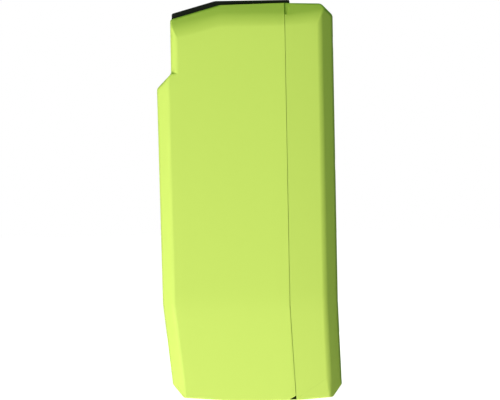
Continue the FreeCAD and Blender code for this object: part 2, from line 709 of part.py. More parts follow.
def make_front_shell():
    backing = box("notch_backing",
                  (-size("notch_width") / 2 - size("notch_wall"), -FAR,
                   z_ledge - size("notch_wall")),
                  (size("notch_width") / 2 + size("notch_wall"),
                   y_front + size("notch_depth") + size("notch_wall"), z_step + wall))
    skin = shared("front_skin", less("front_walls", outside, less("front_hollow", hollow, backing)),
                  ahead_of_seam("front_side", 0))
    lip_band = less("lip_band", ahead_of_seam("lip_end", size("lip_depth")),
                    ahead_of_seam("lip_start", -wall))
    lip = shared("lip", less("lip_ring", lip_outside, hollow), lip_band)
    pieces, holes = front_furniture()
    furniture = shared("front_furniture", joined("front_insides", pieces), outside)
    for side in SCREW_SIDES:
        name = "left" if side < 0 else "right"
        stub = slope_rod(f"gauge_pillar_{name}", side * size("gauge_screw_x"),
                         size("pillar_dia") / 2, gauge_top, -wall / 2)
        holes.append(slope_rod(f"gauge_pillar_hole_{name}", side * size("gauge_screw_x"),
                               size("small_screw_dia") / 2 + size("pilot_clearance"),
                               gauge_top - OVERCUT, gauge_top + size("small_pilot_depth")))
        pieces.append(stub)
    pillars = shared("gauge_pillars", joined("gauge_stubs", pieces[-2:]), outside)
    notch = box("notch", (-size("notch_width") / 2, -FAR, z_ledge),
                (size("notch_width") / 2, y_front + size("notch_depth"), z_step))
    socket = box("socket_hole",
                 (-size("socket_half") - size("fit_clearance"),
                  -size("socket_front") - size("fit_clearance"), length_of(-OVERCUT)),
                 (size("socket_half") + size("fit_clearance"),
                  size("socket_rear") + size("fit_clearance"), wall + OVERCUT))
    recess = prism("label_recess_cut", "across",
                   [label_outline(-OVERCUT, size("label_recess"), size("fit_clearance"))],
                   size("label_width") + 2 * size("fit_clearance"))
    guide_window = slope_block("guide_window", guide_middle,
                               guide_long + 2 * size("fit_clearance"),
                               guide_deep + 2 * size("fit_clearance"), -wall - OVERCUT,
                               length_of(OVERCUT))
    button_window = slope_block("button_window", size("button_x"),
                                flange_long + 2 * size("button_clearance"),
                                flange_deep + 2 * size("button_clearance"), -wall - OVERCUT,
                                length_of(OVERCUT))
    shell = joined("front_whole", [skin, lip, furniture, pillars])
    return keep(less("front_shell", shell, notch, socket, recess, guide_window, button_window,
                     *holes))


def make_rear_shell():
    walls = less("rear_walls", outside, hollow)
    skin = less("rear_skin", walls, ahead_of_seam("rear_start", 0))
    groove = shared("groove", less("groove_ring", groove_outside, hollow),
                    ahead_of_seam("groove_end", size("lip_depth") + size("lip_clearance")))
    pieces, holes = rear_furniture()
    reliefs = []
    run, drop = size("band_in"), size("band_down")
    low, high = z_crown - size("relief_height"), z_crown + OVERCUT
    for side in SCREW_SIDES:
        line = [half_width - run * (z - (z_crown - drop)) / drop for z in (low, high)]
        inner = [x - size("relief_depth") for x in line]
        points = [(inner[0], low), (line[0] + OVERCUT, low), (line[1] + OVERCUT, high),
                  (inner[1], high)]
        name = "left" if side < 0 else "right"
        relief = prism(f"relief_{name}", "front", [points if side > 0 else mirrored(points)],
                       size("relief_width"))
        bind(relief, Placement_Base_y=y_seam + size("relief_width") / 2)
        reliefs.append(relief)
    furniture = less("rear_furniture",
                     shared("rear_insides", joined("rear_fittings", pieces), outside),
                     ahead_of_seam("rear_fitting_start", 0))
    return keep(less("rear_shell", joined("rear_whole", [skin, furniture]), groove, *holes,
                     *reliefs))


def make_label():
    return keep(prism("front_label", "across",
                      [label_outline(size("label_recess") - size("label_thick"),
                                     size("label_recess"), 0)], size("label_width")))


HEAD_FLAT = 0.8     # the flat on top of a screw head, as a share of its width


def headed_screw(name, head_radius, head_thick, shank_radius, shank_length):
    """A screw along +X: shank first, then head."""
    return turned(name, [(0, 0), (shank_length + head_thick, 0),
                         (shank_length + head_thick, head_radius * HEAD_FLAT),
                         (shank_length + head_thick / 2, head_radius),
                         (shank_length, head_radius), (shank_length, shank_radius),
                         (shank_radius, shank_radius), (0, shank_radius / 2)])


def make_housing_screws():
    screws = []
    for name, x, z, *_ in screw_places():
        screw = headed_screw(f"screw_{name}", size("screw_head_dia") / 2,
                             size("screw_head_thick"), size("screw_dia") / 2,
                             size("screw_length"))
        screw.Placement.Rotation = FreeCAD.Rotation(FreeCAD.Vector(0, 0, 1), 90)
        seat = rear_face_y(z) - size("counterbore_depth")
        bind(screw, Placement_Base_x=x, Placement_Base_y=seat - size("screw_length"),
             Placement_Base_z=z)
        screws.append(screw)
    return keep(grouped("housing_screws", screws))


# ---------------------------------------------------------------------------------------------
# Cap, light guide, gauge board, switch and button
# ---------------------------------------------------------------------------------------------

def make_top_cap():
    slope = size("slope_angle")
    top = z_knee + size("cap_rise")
    front = y_brow + size("cap_setback")
    foot_z = z_brow + size("cap_setback") * tangent(slope)
    rise = size("cap_slope_thick") / cosine(slope)
    knee_back = (foot_z + rise - top) / tangent(slope)
    rear = y_seam + size("cap_overhang")
    rear_z = z_crown - (rear - y_seam) * size("crown_rise") / (y_rear - size("rear_bevel") - y_seam)
    profile = [(front, foot_z), (y_knee, z_knee), (y_seam, z_crown), (rear, rear_z),
               (rear, top), (front - knee_back, top), (front, foot_z + rise)]
    half = half_width - size("band_in") - size("cap_margin")
    slab = prism("cap_slab", "across", [profile], 2 * half)
    above = size("cap_slope_thick") + OVERCUT
    play = 2 * size("fit_clearance")
    holes = [slope_block(f"cap_window_{n}", led_x(n), size("prong_long") + play,
                         size("prong_wide") + play, length_of(-OVERCUT), above)
             for n in range(LED_COUNT)]
    holes.append(slope_block("cap_button_hole", size("button_x"),
                             size("button_length") + 2 * size("button_clearance"),
                             size("button_depth") + 2 * size("button_clearance"),
                             length_of(-OVERCUT), above))
    return keep(less("top_cap", slab, *holes))


def make_light_guide():
    legs = [slope_block(f"guide_leg_{n}", led_x(n), size("prong_long"), size("prong_wide"),
                        gauge_top + size("led_height") + size("led_gap"),
                        size("cap_slope_thick")) for n in range(LED_COUNT)]
    base = slope_block("guide_base", guide_middle, guide_long, guide_deep, -size("guide_thick"),
                       length_of(0))
    return keep(joined("light_guide", [base] + legs))


def make_gauge_board():
    under = gauge_top - size("gauge_board_thick")
    board = slope_block("gauge_board_blank", length_of(0), 2 * size("gauge_board_half"),
                        size("gauge_board_depth"), under, gauge_top)
    holes = [slope_rod(f"gauge_board_hole_{side}", side * size("gauge_screw_x"),
                       size("small_screw_dia") / 2 + size("hole_clearance"), under - OVERCUT,
                       gauge_top + OVERCUT) for side in SCREW_SIDES]
    keep(less("gauge_board", board, *holes))
    leds = [slope_block(f"led_{n}", led_x(n), size("led_long"), size("led_wide"), gauge_top,
                        gauge_top + size("led_height")) for n in range(LED_COUNT)]
    keep(grouped("gauge_leds", leds))
    screws = []
    for side in SCREW_SIDES:
        head = slope_rod(f"gauge_screw_head_{side}", side * size("gauge_screw_x"),
                         size("small_head_dia") / 2, under - size("small_head_thick"), under)
        shank = slope_rod(f"gauge_screw_shank_{side}", side * size("gauge_screw_x"),
                          size("small_screw_dia") / 2, under - size("small_head_thick"),
                          gauge_top + size("small_screw_bite"))
        screws.append(joined(f"gauge_screw_{side}", [head, shank]))
    keep(grouped("gauge_screws", screws))
    keep(slope_block("gauge_connector", size("cable_x"), size("plug_width"), size("plug_depth"),
                     under - size("plug_height"), under))


def make_switch():
    """The push switch: a body on the board, and the plunger that the button's stem pushes."""
    body_top = gauge_top + size("switch_height")
    plunger_top = body_top + size("plunger_rise")
    well_floor = gauge_top + size("well_floor")
    body = slope_block("switch_blank", size("button_x"), size("switch_side"), size("switch_side"),
                       gauge_top, body_top)
    well = slope_rod("switch_well", size("button_x"), size("plunger_dia") / 2
                     + size("button_clearance"), well_floor, body_top + OVERCUT)
    keep(less("switch_body", body, well))
    keep(slope_rod("switch_plunger", size("button_x"), size("plunger_dia") / 2,
                   well_floor + size("button_travel") + size("button_clearance"), plunger_top))
    return plunger_top


def make_button(plunger_top):
    flange_top = -size("button_rest_gap")
    flange_low = flange_top - size("button_flange_thick")
    key = slope_block("button_key", size("button_x"), size("button_length"), size("button_depth"),
                      flange_low, size("cap_slope_thick"))
    flange = slope_block("button_flange", size("button_x"), flange_long, flange_deep, flange_low,
                         flange_top)
    stem = slope_rod("button_stem", size("button_x"), size("button_stem_dia") / 2, plunger_top,
                     flange_top)
    keep(joined("gauge_button", [key, flange, stem]))


# ---------------------------------------------------------------------------------------------
# Cells, holders, strips and sheets
# ---------------------------------------------------------------------------------------------

def current_path():
    """The cells in the order the current meets them: (column, row), two by two."""
    path = [("front", row) for row in range(1, FRONT_ROWS + 1)]
    for row in range(ROWS, 0, -1):
        path += [("middle", row), ("rear", row)]
    return path


def make_cells():
    """Twenty cells; the pairs lie head to tail, so the current runs to and fro across."""
    bead_end = size("cell_length") - size("bead_setback")
    bead_start = bead_end - size("bead_width")
    profile = [(0, 0), (size("cell_length"), 0), (size("cell_length"), cell_radius),
               (bead_end, cell_radius), (bead_end, cell_radius - size("bead_depth")),
               (bead_start, cell_radius - size("bead_depth")), (bead_start, cell_radius),
               (0, cell_radius)]
    for number, (column, row) in enumerate(current_path()):
        cell = turned(f"cell_{number + 1:02d}", profile)
        flipped = (number // 2) % 2 == 0
        if flipped:
            cell.Placement.Rotation = FreeCAD.Rotation(FreeCAD.Vector(0, 0, 1), 180)
        bind(cell, Placement_Base_x=cell_half if flipped else -cell_half,
             Placement_Base_y=column_y(column), Placement_Base_z=row_z(row))
        keep(cell)


def pack_outline():
    """Round the twenty cells, with a cut corner wherever the outermost cell leaves one."""
    c = pack_corner
    return [
        (pack_front + c, pack_low), (pack_rear - c, pack_low), (pack_rear, pack_low + c),
        (pack_rear, pack_high - c), (pack_rear - c, pack_high), (pack_shoulder + c, pack_high),
        (pack_shoulder, pack_high - c), (pack_shoulder, pack_step),
        (pack_front + c, pack_step), (pack_front, pack_step - c), (pack_front, pack_low + c)]


def tie_places():
    """The gaps between four cells that the tie rods run through."""
    front_gap = (y_front_column + y_middle_column) / 2
    rear_gap = (y_middle_column + y_rear_column) / 2
    return [(gap, row_z(row) + pitch / 2)
            for gap, last in ((front_gap, FRONT_ROWS), (rear_gap, ROWS)) for row in (1, last - 1)]


def make_holder(name, side):
    """One comb: bores for the cells, a lip over their ends and a window in the lip."""
    depth, lip = size("holder_depth"), size("holder_lip")
    start = lip_x - depth if side > 0 else -lip_x
    blank = plate(name + "_blank", [pack_outline()], start, depth)
    bore_start = start if side > 0 else start + lip
    places = [(column_y(column), row_z(row)) for column, row in current_path()]
    bores = plate(name + "_bores", [], bore_start, depth - lip,
                  [(place, cell_radius + size("bore_clearance")) for place in places])
    windows = plate(name + "_windows", [], start - OVERCUT, depth + 2 * OVERCUT,
                    [(place, size("window_dia") / 2) for place in places]
                    + [(place, size("tie_dia") / 2 + size("hole_clearance"))
                       for place in tie_places()])
    return keep(less(name, blank, bores, windows))


def make_ties():
    """Rods with a head at each end that draw the two holders together."""
    rods = []
    head, shank = size("tie_head_dia") / 2, size("tie_dia") / 2
    for number, (y, z) in enumerate(tie_places()):
        thick = size("tie_head_thick")
        rods.append(turned(f"tie_{number}", [
            (-lip_x - thick, 0), (lip_x + thick, 0), (lip_x + thick, head), (lip_x, head),
            (lip_x, shank), (-lip_x, shank), (-lip_x, head), (-lip_x - thick, head)]))
        bind(rods[-1], Placement_Base_y=y, Placement_Base_z=z)
    return keep(grouped("holder_ties", rods))


def bar_outline(low, high):
    """A strip that covers the cells between two places of the pack."""
    half = size("strip_width") / 2
    return rectangle((low[0] - half, low[1] - half), (high[0] + half, high[1] + half))


def make_strip(name, side, outline, cells):
    """A nickel strip outside the holder, with a nib through the window onto each cell."""
    start = lip_x if side > 0 else -strip_x
    flat = plate(name + "_flat", [outline], start, size("strip_thick"))
    nib_start = cell_half if side > 0 else -strip_x
    places = [(column_y(column), row_z(row)) for column, row in cells]
    nibs = plate(name + "_nibs", [], nib_start, strip_x - cell_half,
                 [(place, size("nib_dia") / 2) for place in places])
    whole = joined(name + "_whole", [flat, nibs])
    if [column for column, row in cells] == ["middle", "rear"] * 2:
        middle = ((y_middle_column + y_rear_column) / 2, row_z(cells[2][1]) + pitch / 2)
        window = plate(name + "_window", [], start - OVERCUT, size("strip_thick") + 2 * OVERCUT,
                       [(middle, size("strip_window") / 2)])
        return keep(less(name, whole, window))
    return keep_as(whole, name)


def make_strips():
    """Eleven strips tie the cells into ten pairs in a row, turn and turn about."""
    half = size("strip_width") / 2
    path = current_path()
    left, right = -1, 1
    front_tail = -size("wide_board_front") + size("tail_inset")
    positive = [(y_front_column - half, row_z(2) + half), (y_front_column - half, row_z(1) - half),
                (front_tail, board_top), (front_tail + size("tail_width"), board_top),
                (y_front_column + half, row_z(1)), (y_front_column + half, row_z(2) + half)]
    make_strip("bus_positive", left, positive, path[0:2])
    for link in range(1, 10):
        cells = path[2 * link - 2:2 * link + 2]
        places = [(column_y(column), row_z(row)) for column, row in cells]
        side = right if link % 2 else left
        if link <= 2:
            outline = bar_outline(places[0], places[3])
        elif link == 3:
            outline = corner_outline()
        else:
            outline = bar_outline(places[2], places[1])
        make_strip(f"link_{link}", side, outline, cells)
    rear_tail = y_middle_column + half
    negative = [(y_middle_column - half, row_z(1) + half),
                (y_middle_column - half, row_z(1) - half),
                (rear_tail, board_top), (rear_tail + size("tail_width"), board_top),
                (rear_tail + size("tail_width") + half, row_z(1) - half),
                (y_rear_column + half, row_z(1) - half), (y_rear_column + half, row_z(1) + half)]
    make_strip("bus_negative", left, negative, path[18:20])


def corner_outline():
    """The strip that turns from the front column to the top of the other two."""
    half = size("strip_width") / 2
    front, middle, rear = y_front_column, y_middle_column, y_rear_column
    low, bend, top = row_z(FRONT_ROWS - 1), row_z(FRONT_ROWS), row_z(ROWS)
    return [(front - half, low - half), (front + half, low - half), (front + half, bend),
            (middle, top - half), (rear + half, top - half), (rear + half, top + half),
            (middle - half, top + half), (middle - half, top), (front, bend + half),
            (front - half, bend + half)]


def make_sheets():
    """Insulating sheets over the strips, cleared around the heads of the tie rods."""
    for name, start in (("insulator_left", -sheet_x), ("insulator_right", strip_x)):
        blank = plate(name + "_blank", [pack_outline()], start, size("sheet_thick"))
        heads = plate(name + "_holes", [], start - OVERCUT, size("sheet_thick") + 2 * OVERCUT,
                      [(place, size("tie_head_dia") / 2 + size("hole_clearance"))
                       for place in tie_places()])
        keep(less(name, blank, heads))


def make_foam():
    """Two foam strips that press the holders down under the top of the casing."""
    inner = lip_x - size("holder_depth")
    pads = [box(f"foam_{side}",
                ((inner if side > 0 else -lip_x), pack_shoulder + pack_corner, pack_high),
                ((lip_x if side > 0 else -inner), y_seam - size("foam_setback"),
                 pack_high + size("foam_thick")))
            for side in SCREW_SIDES]
    return keep(grouped("top_foam", pads))


# ---------------------------------------------------------------------------------------------
# Terminals, the board under the cells and the flat cable
# ---------------------------------------------------------------------------------------------

def contact_places():
    """Blade slots from left to right: the two power slots outside, three small ones between."""
    power, signal = size("power_pitch"), size("signal_pitch")
    return {"contact_negative": [-power], "signal_contacts": [-signal, length_of(0), signal],
            "contact_positive": [power]}


def make_terminals():
    middle = (size("socket_rear") - size("socket_front")) / 2
    stem = box("socket_stem", (-size("socket_half"), -size("socket_front"), length_of(0)),
               (size("socket_half"), size("socket_rear"), board_low))
    flange = box("socket_flange",
                 (-size("socket_half") - size("flange_lip"),
                  -size("socket_front") - size("flange_lip"), wall),
                 (size("socket_half") + size("flange_lip"),
                  size("socket_rear") + size("flange_lip"), wall + size("flange_thick")))
    cuts = []
    half_slot, half_long = size("slot_width") / 2, size("slot_length") / 2
    half_room = size("chamber_width") / 2
    leaf = size("leaf_thick")
    half_blade = size("blade_thick") / 2
    for node, places in contact_places().items():
        contacts = []
        for number, x in enumerate(places):
            name = f"{node}_{number}"
            cuts.append(box(f"{name}_slot",
                            (x - half_slot, middle - half_long, length_of(-OVERCUT)),
                            (x + half_slot, middle + half_long, size("slot_floor") + OVERCUT)))
            cuts.append(box(f"{name}_chamber",
                            (x - half_room, middle - half_long, size("slot_floor")),
                            (x + half_room, middle + half_long, board_low + OVERCUT)))
            low = size("slot_floor") + size("fit_clearance")
            inner = half_long - size("leaf_thick")
            arms = [box(f"{name}_leaf_{hand}", (edge, middle - inner, low),
                        (edge + leaf, middle + inner, board_low))
                    for hand, edge in (("left", x - half_blade - leaf), ("right", x + half_blade))]
            bridge = box(f"{name}_bridge", (x - half_blade - leaf, middle - inner,
                                            board_low - leaf),
                         (x + half_blade + leaf, middle + inner, board_low))
            contacts.append(joined(f"{name}_clip", arms + [bridge]))
        if len(contacts) == 1:
            keep_as(contacts[0], node)
        else:
            keep(grouped(node, contacts))
    return keep(less("terminal_housing", joined("socket_whole", [stem, flange]), *cuts))


def make_bms_board():
    wide, narrow = wide_board_half, size("narrow_board_half")
    front, rear = -size("wide_board_front"), size("wide_board_rear")
    outline = [(-narrow, board_front), (narrow, board_front), (narrow, front),
               (wide, front), (wide, rear), (narrow, rear), (narrow, size("board_rear")),
               (-narrow, size("board_rear")), (-narrow, rear), (-wide, rear), (-wide, front),
               (-narrow, front)]
    body = document.addObject("PartDesign::Body", "board_blank")
    pad = body.newObject("PartDesign::Pad", "board_blank_pad")
    holes = [((side * size("board_screw_x"), -size("board_screw_y")),
              size("small_screw_dia") / 2 + size("hole_clearance")) for side in SCREW_SIDES]
    pad.Profile = body_sketch(body, "plan", [outline], holes)
    bind(pad, Length=size("board_thick"))
    bind(body, Placement_Base_z=board_low)
    keep_as(body, "bms_board")
    screws = []
    for side in SCREW_SIDES:
        x, y = side * size("board_screw_x"), -size("board_screw_y")
        head = rod(f"board_screw_head_{side}", "z", (x, y, board_top),
                   size("small_head_dia") / 2, size("small_head_thick"))
        shank = rod(f"board_screw_shank_{side}", "z", (x, y, board_low - size("small_screw_bite")),
                    size("small_screw_dia") / 2,
                    size("small_screw_bite") + size("board_thick") + size("small_head_thick"))
        screws.append(joined(f"board_screw_{side}", [head, shank]))
    keep(grouped("board_screws", screws))


CHIP_LAYOUT = [
    # (x, y, length, width, height) on the underside of the board
    (-9.0, -14.0, 10.0, 10.0, 1.4), (4.0, -14.0, 5.0, 6.2, 1.6), (12.5, -14.0, 5.0, 6.2, 1.6),
]
MOSFET_LAYOUT = [(x, 20.0, 6.6, 9.8, 2.3) for x in (-13.5, -4.5, 4.5, 13.5)]


def make_components():
    for node, layout in (("control_chips", CHIP_LAYOUT), ("power_mosfets", MOSFET_LAYOUT)):
        blocks = []
        for number, (x, y, long, wide, high) in enumerate(layout):
            blocks.append(box(f"{node}_{number}",
                              (length_of(x - long / 2), length_of(y - wide / 2), board_low - high),
                              (length_of(x + long / 2), length_of(y + wide / 2), board_low)))
        keep(grouped(node, blocks))


def make_cable():
    """The flat cable: down from the gauge, round the top front cell, down the front gap."""
    slope = size("slope_angle")
    under = gauge_top - size("gauge_board_thick") - size("plug_height")
    top_y = slope_y - under * sine(slope)
    top_z = slope_z + under * cosine(slope)
    diagonal = math.sqrt(0.5)
    round_cell = cell_radius + size("cable_cell_gap")
    bend_y = y_front_column - round_cell * diagonal
    bend_z = z_front_last + round_cell * diagonal
    gap_y = pack_front - size("cable_holder_gap")
    plug_front = board_front + size("plug_inset")
    plug_z = board_top + size("plug_height") / 2
    centre = [(top_y, top_z), (top_y, top_z - size("cable_drop")), (bend_y, bend_z),
              (gap_y, bend_z - (bend_y - gap_y)), (gap_y, z_crease),
              (plug_front - size("cable_slack"), z_first - size("cable_drop")),
              (plug_front, plug_z)]
    half = size("cable_thick") / 2
    rear = [(y + half, z) for y, z in centre]
    front = [(y - half, z) for y, z in reversed(centre)]
    rear[0] = (top_y + half, top_z + half * tangent(slope))
    front[-1] = (top_y - half, top_z - half * tangent(slope))
    rear[-1] = (plug_front, plug_z + half)
    front[0] = (plug_front, plug_z - half)
    cable = prism("cable_flat", "across", [rear + front], size("cable_width"))
    bind(cable, Placement_Base_x=size("cable_x"))
    keep_as(cable, "ribbon_cable")
    keep(box("bms_connector",
             (size("cable_x") - size("plug_width") / 2, plug_front, board_top),
             (size("cable_x") + size("plug_width") / 2, plug_front + size("plug_depth"),
              board_top + size("plug_height"))))


# ---------------------------------------------------------------------------------------------
# Build, check and write
# ---------------------------------------------------------------------------------------------

make_front_shell()
make_rear_shell()
make_label()
make_housing_screws()
make_top_cap()
make_light_guide()
make_gauge_board()
make_button(make_switch())
make_cells()
make_holder("cell_holder_left", -1)
make_holder("cell_holder_right", 1)
make_ties()
make_strips()
make_sheets()
make_foam()
make_terminals()
make_bms_board()
make_components()
make_cable()
document.recompute()

faults = [item.Name for item in document.Objects
          if "Invalid" in item.State or "Error" in item.State]
faults += [part.Label for part in subparts if part.Shape.isNull() or not part.Shape.isValid()]
if faults:
    raise RuntimeError("failed: " + ", ".join(faults))

os.makedirs("parts", exist_ok=True)
for part in subparts:
    part.Shape.exportStep(f"parts/{part.Label}.step")
    print(f"{part.Label:20s} solids {len(part.Shape.Solids):2d} volume {part.Shape.Volume:10.1f}")
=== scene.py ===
"""Looks of a cordless push mower's slide-in battery pack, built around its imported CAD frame.

The pack stands on its foot: X runs across it, -Y is its front, Z is up.  The two lime shells,
the black cap, the gauge button, the blank label, the screws and the terminal housing are
rebuilt with soft edges and fine detail; what is inside keeps its CAD shape and gets a finish.
"""
import json
import logging
import math
from dataclasses import dataclass
from enum import Enum

import bmesh
import bpy
from mathutils import Matrix, Vector
from mathutils.bvhtree import BVHTree


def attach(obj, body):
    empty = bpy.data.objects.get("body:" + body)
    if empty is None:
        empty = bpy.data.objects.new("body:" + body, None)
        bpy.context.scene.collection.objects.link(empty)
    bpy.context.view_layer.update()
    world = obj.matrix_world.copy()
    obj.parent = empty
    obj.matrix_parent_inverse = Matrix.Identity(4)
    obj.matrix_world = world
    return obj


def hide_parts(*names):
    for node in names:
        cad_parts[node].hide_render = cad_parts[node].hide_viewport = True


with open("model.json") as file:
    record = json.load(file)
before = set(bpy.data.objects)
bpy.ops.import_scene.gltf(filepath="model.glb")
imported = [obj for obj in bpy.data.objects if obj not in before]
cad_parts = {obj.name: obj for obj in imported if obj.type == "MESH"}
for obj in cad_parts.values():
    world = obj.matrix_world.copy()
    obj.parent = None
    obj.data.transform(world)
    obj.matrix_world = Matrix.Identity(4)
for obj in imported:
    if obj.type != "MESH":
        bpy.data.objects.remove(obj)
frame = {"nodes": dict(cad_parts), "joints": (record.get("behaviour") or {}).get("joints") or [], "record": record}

MM = 0.001
WELD = 0.002 * MM         # corners of a CAD mesh closer than this are one
HAIR = 0.001 * MM         # what the cuts and the turned shapes take as no distance
LEVEL = 0.4               # degrees between two faces that count as one
SHARP = 35.0              # degrees from which an edge stays sharp
HEAD_THICK = 1.6 * MM     # of the casing screws
LOG = logging.getLogger("battery_pack")
Colour = tuple[float, float, float]


# ---------------------------------------------------------------------------------------------
# Shader maths
# ---------------------------------------------------------------------------------------------

class Socket:
    """A value inside a material's node tree that Python's own operators work on."""

    def __init__(self, paint: "Paint", link: bpy.types.NodeSocket) -> None:
        """Wraps one output socket of a node.

        Args:
            paint: The node tree that the socket belongs to.
            link: The output socket.
        """
        self.paint = paint
        self.link = link

    def _math(self, operation: str, first: "Value", second: "Value") -> "Socket":
        """Adds one Math node and returns its result."""
        return self.paint.node("ShaderNodeMath", {"operation": operation}, {0: first, 1: second})

    def __add__(self, other: "Value") -> "Socket":
        """This value plus another."""
        return self._math("ADD", self, other)

    def __radd__(self, other: "Value") -> "Socket":
        """Another value plus this one."""
        return self._math("ADD", other, self)

    def __sub__(self, other: "Value") -> "Socket":
        """This value less another."""
        return self._math("SUBTRACT", self, other)

    def __rsub__(self, other: "Value") -> "Socket":
        """Another value less this one."""
        return self._math("SUBTRACT", other, self)

    def __mul__(self, other: "Value") -> "Socket":
        """This value times another."""
        return self._math("MULTIPLY", self, other)

    def __gt__(self, other: "Value") -> "Socket":
        """1 where this value is above another, else 0."""
        return self._math("GREATER_THAN", self, other)

    def __lt__(self, other: "Value") -> "Socket":
        """1 where this value is below another, else 0."""
        return self._math("LESS_THAN", self, other)

    def __abs__(self) -> "Socket":
        """The value without its sign."""
        return self._math("ABSOLUTE", self, 0.0)

    def wave(self) -> "Socket":
        """The sine of the value, in radians."""
        return self._math("SINE", self, 0.0)


Value = Socket | float | int


class Paint:
    """Builds the node tree of one material."""

    def __init__(self, name: str) -> None:
        """Starts an empty material.

        Args:
            name: The material's name.
        """
        self.material = bpy.data.materials.new(name)
        self.material.use_nodes = True
        self.tree = self.material.node_tree
        self.tree.nodes.clear()

    def node(self, kind: str, settings: dict[str, object] | None = None,
             inputs: dict[str | int, object] | None = None, output: str | int = 0) -> Socket:
        """Adds a node, sets it up and feeds it.

        Args:
            kind: The node's type.
            settings: Properties of the node, set first.
            inputs: Values or sockets for the node's inputs.
            output: Which output to return.

        Returns:
            The chosen output.
        """
        made = self.tree.nodes.new(kind)
        for name, value in (settings or {}).items():
            setattr(made, name, value)
        for name, value in (inputs or {}).items():
            if isinstance(value, Socket):
                self.tree.links.new(value.link, made.inputs[name])
            else:
                made.inputs[name].default_value = value
        return Socket(self, made.outputs[output])

    def place(self, axis: str | None = None) -> Socket:
        """Object coordinates, in metres, or one axis of them."""
        spot = self.node("ShaderNodeTexCoord", output="Object")
        if axis is None:
            return spot
        return self.node("ShaderNodeSeparateXYZ", inputs={0: spot}, output=axis.upper())

    def stretched(self, scale: tuple[float, float, float]) -> Socket:
        """Object coordinates, stretched by a share along each axis."""
        return self.node("ShaderNodeMapping", inputs={"Vector": self.place(), "Scale": scale})

    def noise(self, grain: float, detail: float = 3.0, where: Socket | None = None) -> Socket:
        """Soft noise from 0 to 1 whose lumps are about one grain across, in metres."""
        return self.node("ShaderNodeTexNoise", inputs={
            "Vector": where or self.place(), "Scale": 1.0 / grain, "Detail": detail,
            "Roughness": 0.55}, output="Fac")

    def cells(self, grain: float, where: Socket | None = None) -> Socket:
        """Distance to the nearest of many scattered points, in grains."""
        return self.node("ShaderNodeTexVoronoi", inputs={
            "Vector": where or self.place(), "Scale": 1.0 / grain}, output="Distance")

    def ramp(self, value: Socket, low: float, high: float) -> Socket:
        """Takes a value from 0 at low to 1 at high and keeps it in between."""
        return self.node("ShaderNodeMapRange", {"clamp": True}, {
            "Value": value, "From Min": low, "From Max": high, "To Min": 0.0, "To Max": 1.0})

    def mix(self, share: Value, first: "Shade", second: "Shade") -> Socket:
        """Blends two colours."""
        made = self.tree.nodes.new("ShaderNodeMix")
        made.data_type = "RGBA"
        for place, value in ((0, share), (6, first), (7, second)):
            if isinstance(value, Socket):
                self.tree.links.new(value.link, made.inputs[place])
            elif isinstance(value, tuple):
                made.inputs[place].default_value = (*value, 1.0)
            else:
                made.inputs[place].default_value = value
        return Socket(self, made.outputs[2])

    def bump(self, height: Socket, depth: float, strength: float) -> Socket:
        """Turns a height from 0 to 1 into a bent normal; depth is its full height, in metres."""
        return self.node("ShaderNodeBump", inputs={
            "Height": height, "Distance": depth, "Strength": strength}, output="Normal")

    def surface(self, **inputs: object) -> bpy.types.Material:
        """Ends the tree in one Principled shader.

        Args:
            inputs: The shader's sockets, with an underscore for each space.

        Returns:
            The finished material.
        """
        named = {name.replace("_", " "): value for name, value in inputs.items()}
        named = {name: (*value, 1.0) if name in ("Base Color", "Emission Color")
                 and isinstance(value, tuple) else value for name, value in named.items()}
        shader = self.node("ShaderNodeBsdfPrincipled", inputs=named)
        self.node_output(shader)
        return self.material

    def node_output(self, shader: Socket) -> None:
        """Links a shader to the material's output."""
        output = self.tree.nodes.new("ShaderNodeOutputMaterial")
        self.tree.links.new(shader.link, output.inputs["Surface"])


Shade = Socket | Colour


# ---------------------------------------------------------------------------------------------
# Finishes
# ---------------------------------------------------------------------------------------------

@dataclass(frozen=True)
class Finish:
    """What every finish has: the record's slot and the base colour."""

    slot: str
    colour: Colour

    def shade(self, share: float) -> Colour:
        """The base colour, lighter (above 1) or darker (below 1)."""
        return tuple(min(1.0, level * share) for level in self.colour)

    def material(self) -> bpy.types.Material:
        """The finish's material, made once."""
        found = bpy.data.materials.get(self.slot)
        return found or self.make(Paint(self.slot))

    def make(self, paint: Paint) -> bpy.types.Material:
        """Builds the node tree; each kind of finish has its own."""
        raise NotImplementedError


@dataclass(frozen=True)
class MouldedPlastic(Finish):
    """Injection-moulded plastic: spark-eroded texture, faint flow marks and handling scuffs."""

    roughness: float = 0.45
    texture: float = 0.45 * MM
    depth: float = 0.012 * MM
    mottle: float = 0.05
    flow: float = 38.0 * MM

    def make(self, paint: Paint) -> bpy.types.Material:
        """Builds the node tree."""
        grain = paint.noise(self.texture, 2.0)
        pits = paint.cells(self.texture * 1.7)
        streaks = paint.noise(self.flow, 4.0, paint.stretched((1.0, 1.0, 0.35)))
        cloud = paint.ramp(streaks, 0.35, 0.65)
        rubbed = paint.ramp(paint.noise(self.flow * 0.35, 5.0), 0.56, 0.72)
        colour = paint.mix(cloud, self.shade(1.0 - self.mottle), self.shade(1.0 + self.mottle))
        colour = paint.mix(grain * 0.10, colour, self.shade(0.72))
        relief = grain * 0.6 + pits * 0.4
        return paint.surface(
            Base_Color=colour,
            Roughness=self.roughness + (grain - 0.5) * 0.10 - rubbed * 0.05,
            Specular_IOR_Level=0.5,
            Normal=paint.bump(relief, self.depth, 0.55))


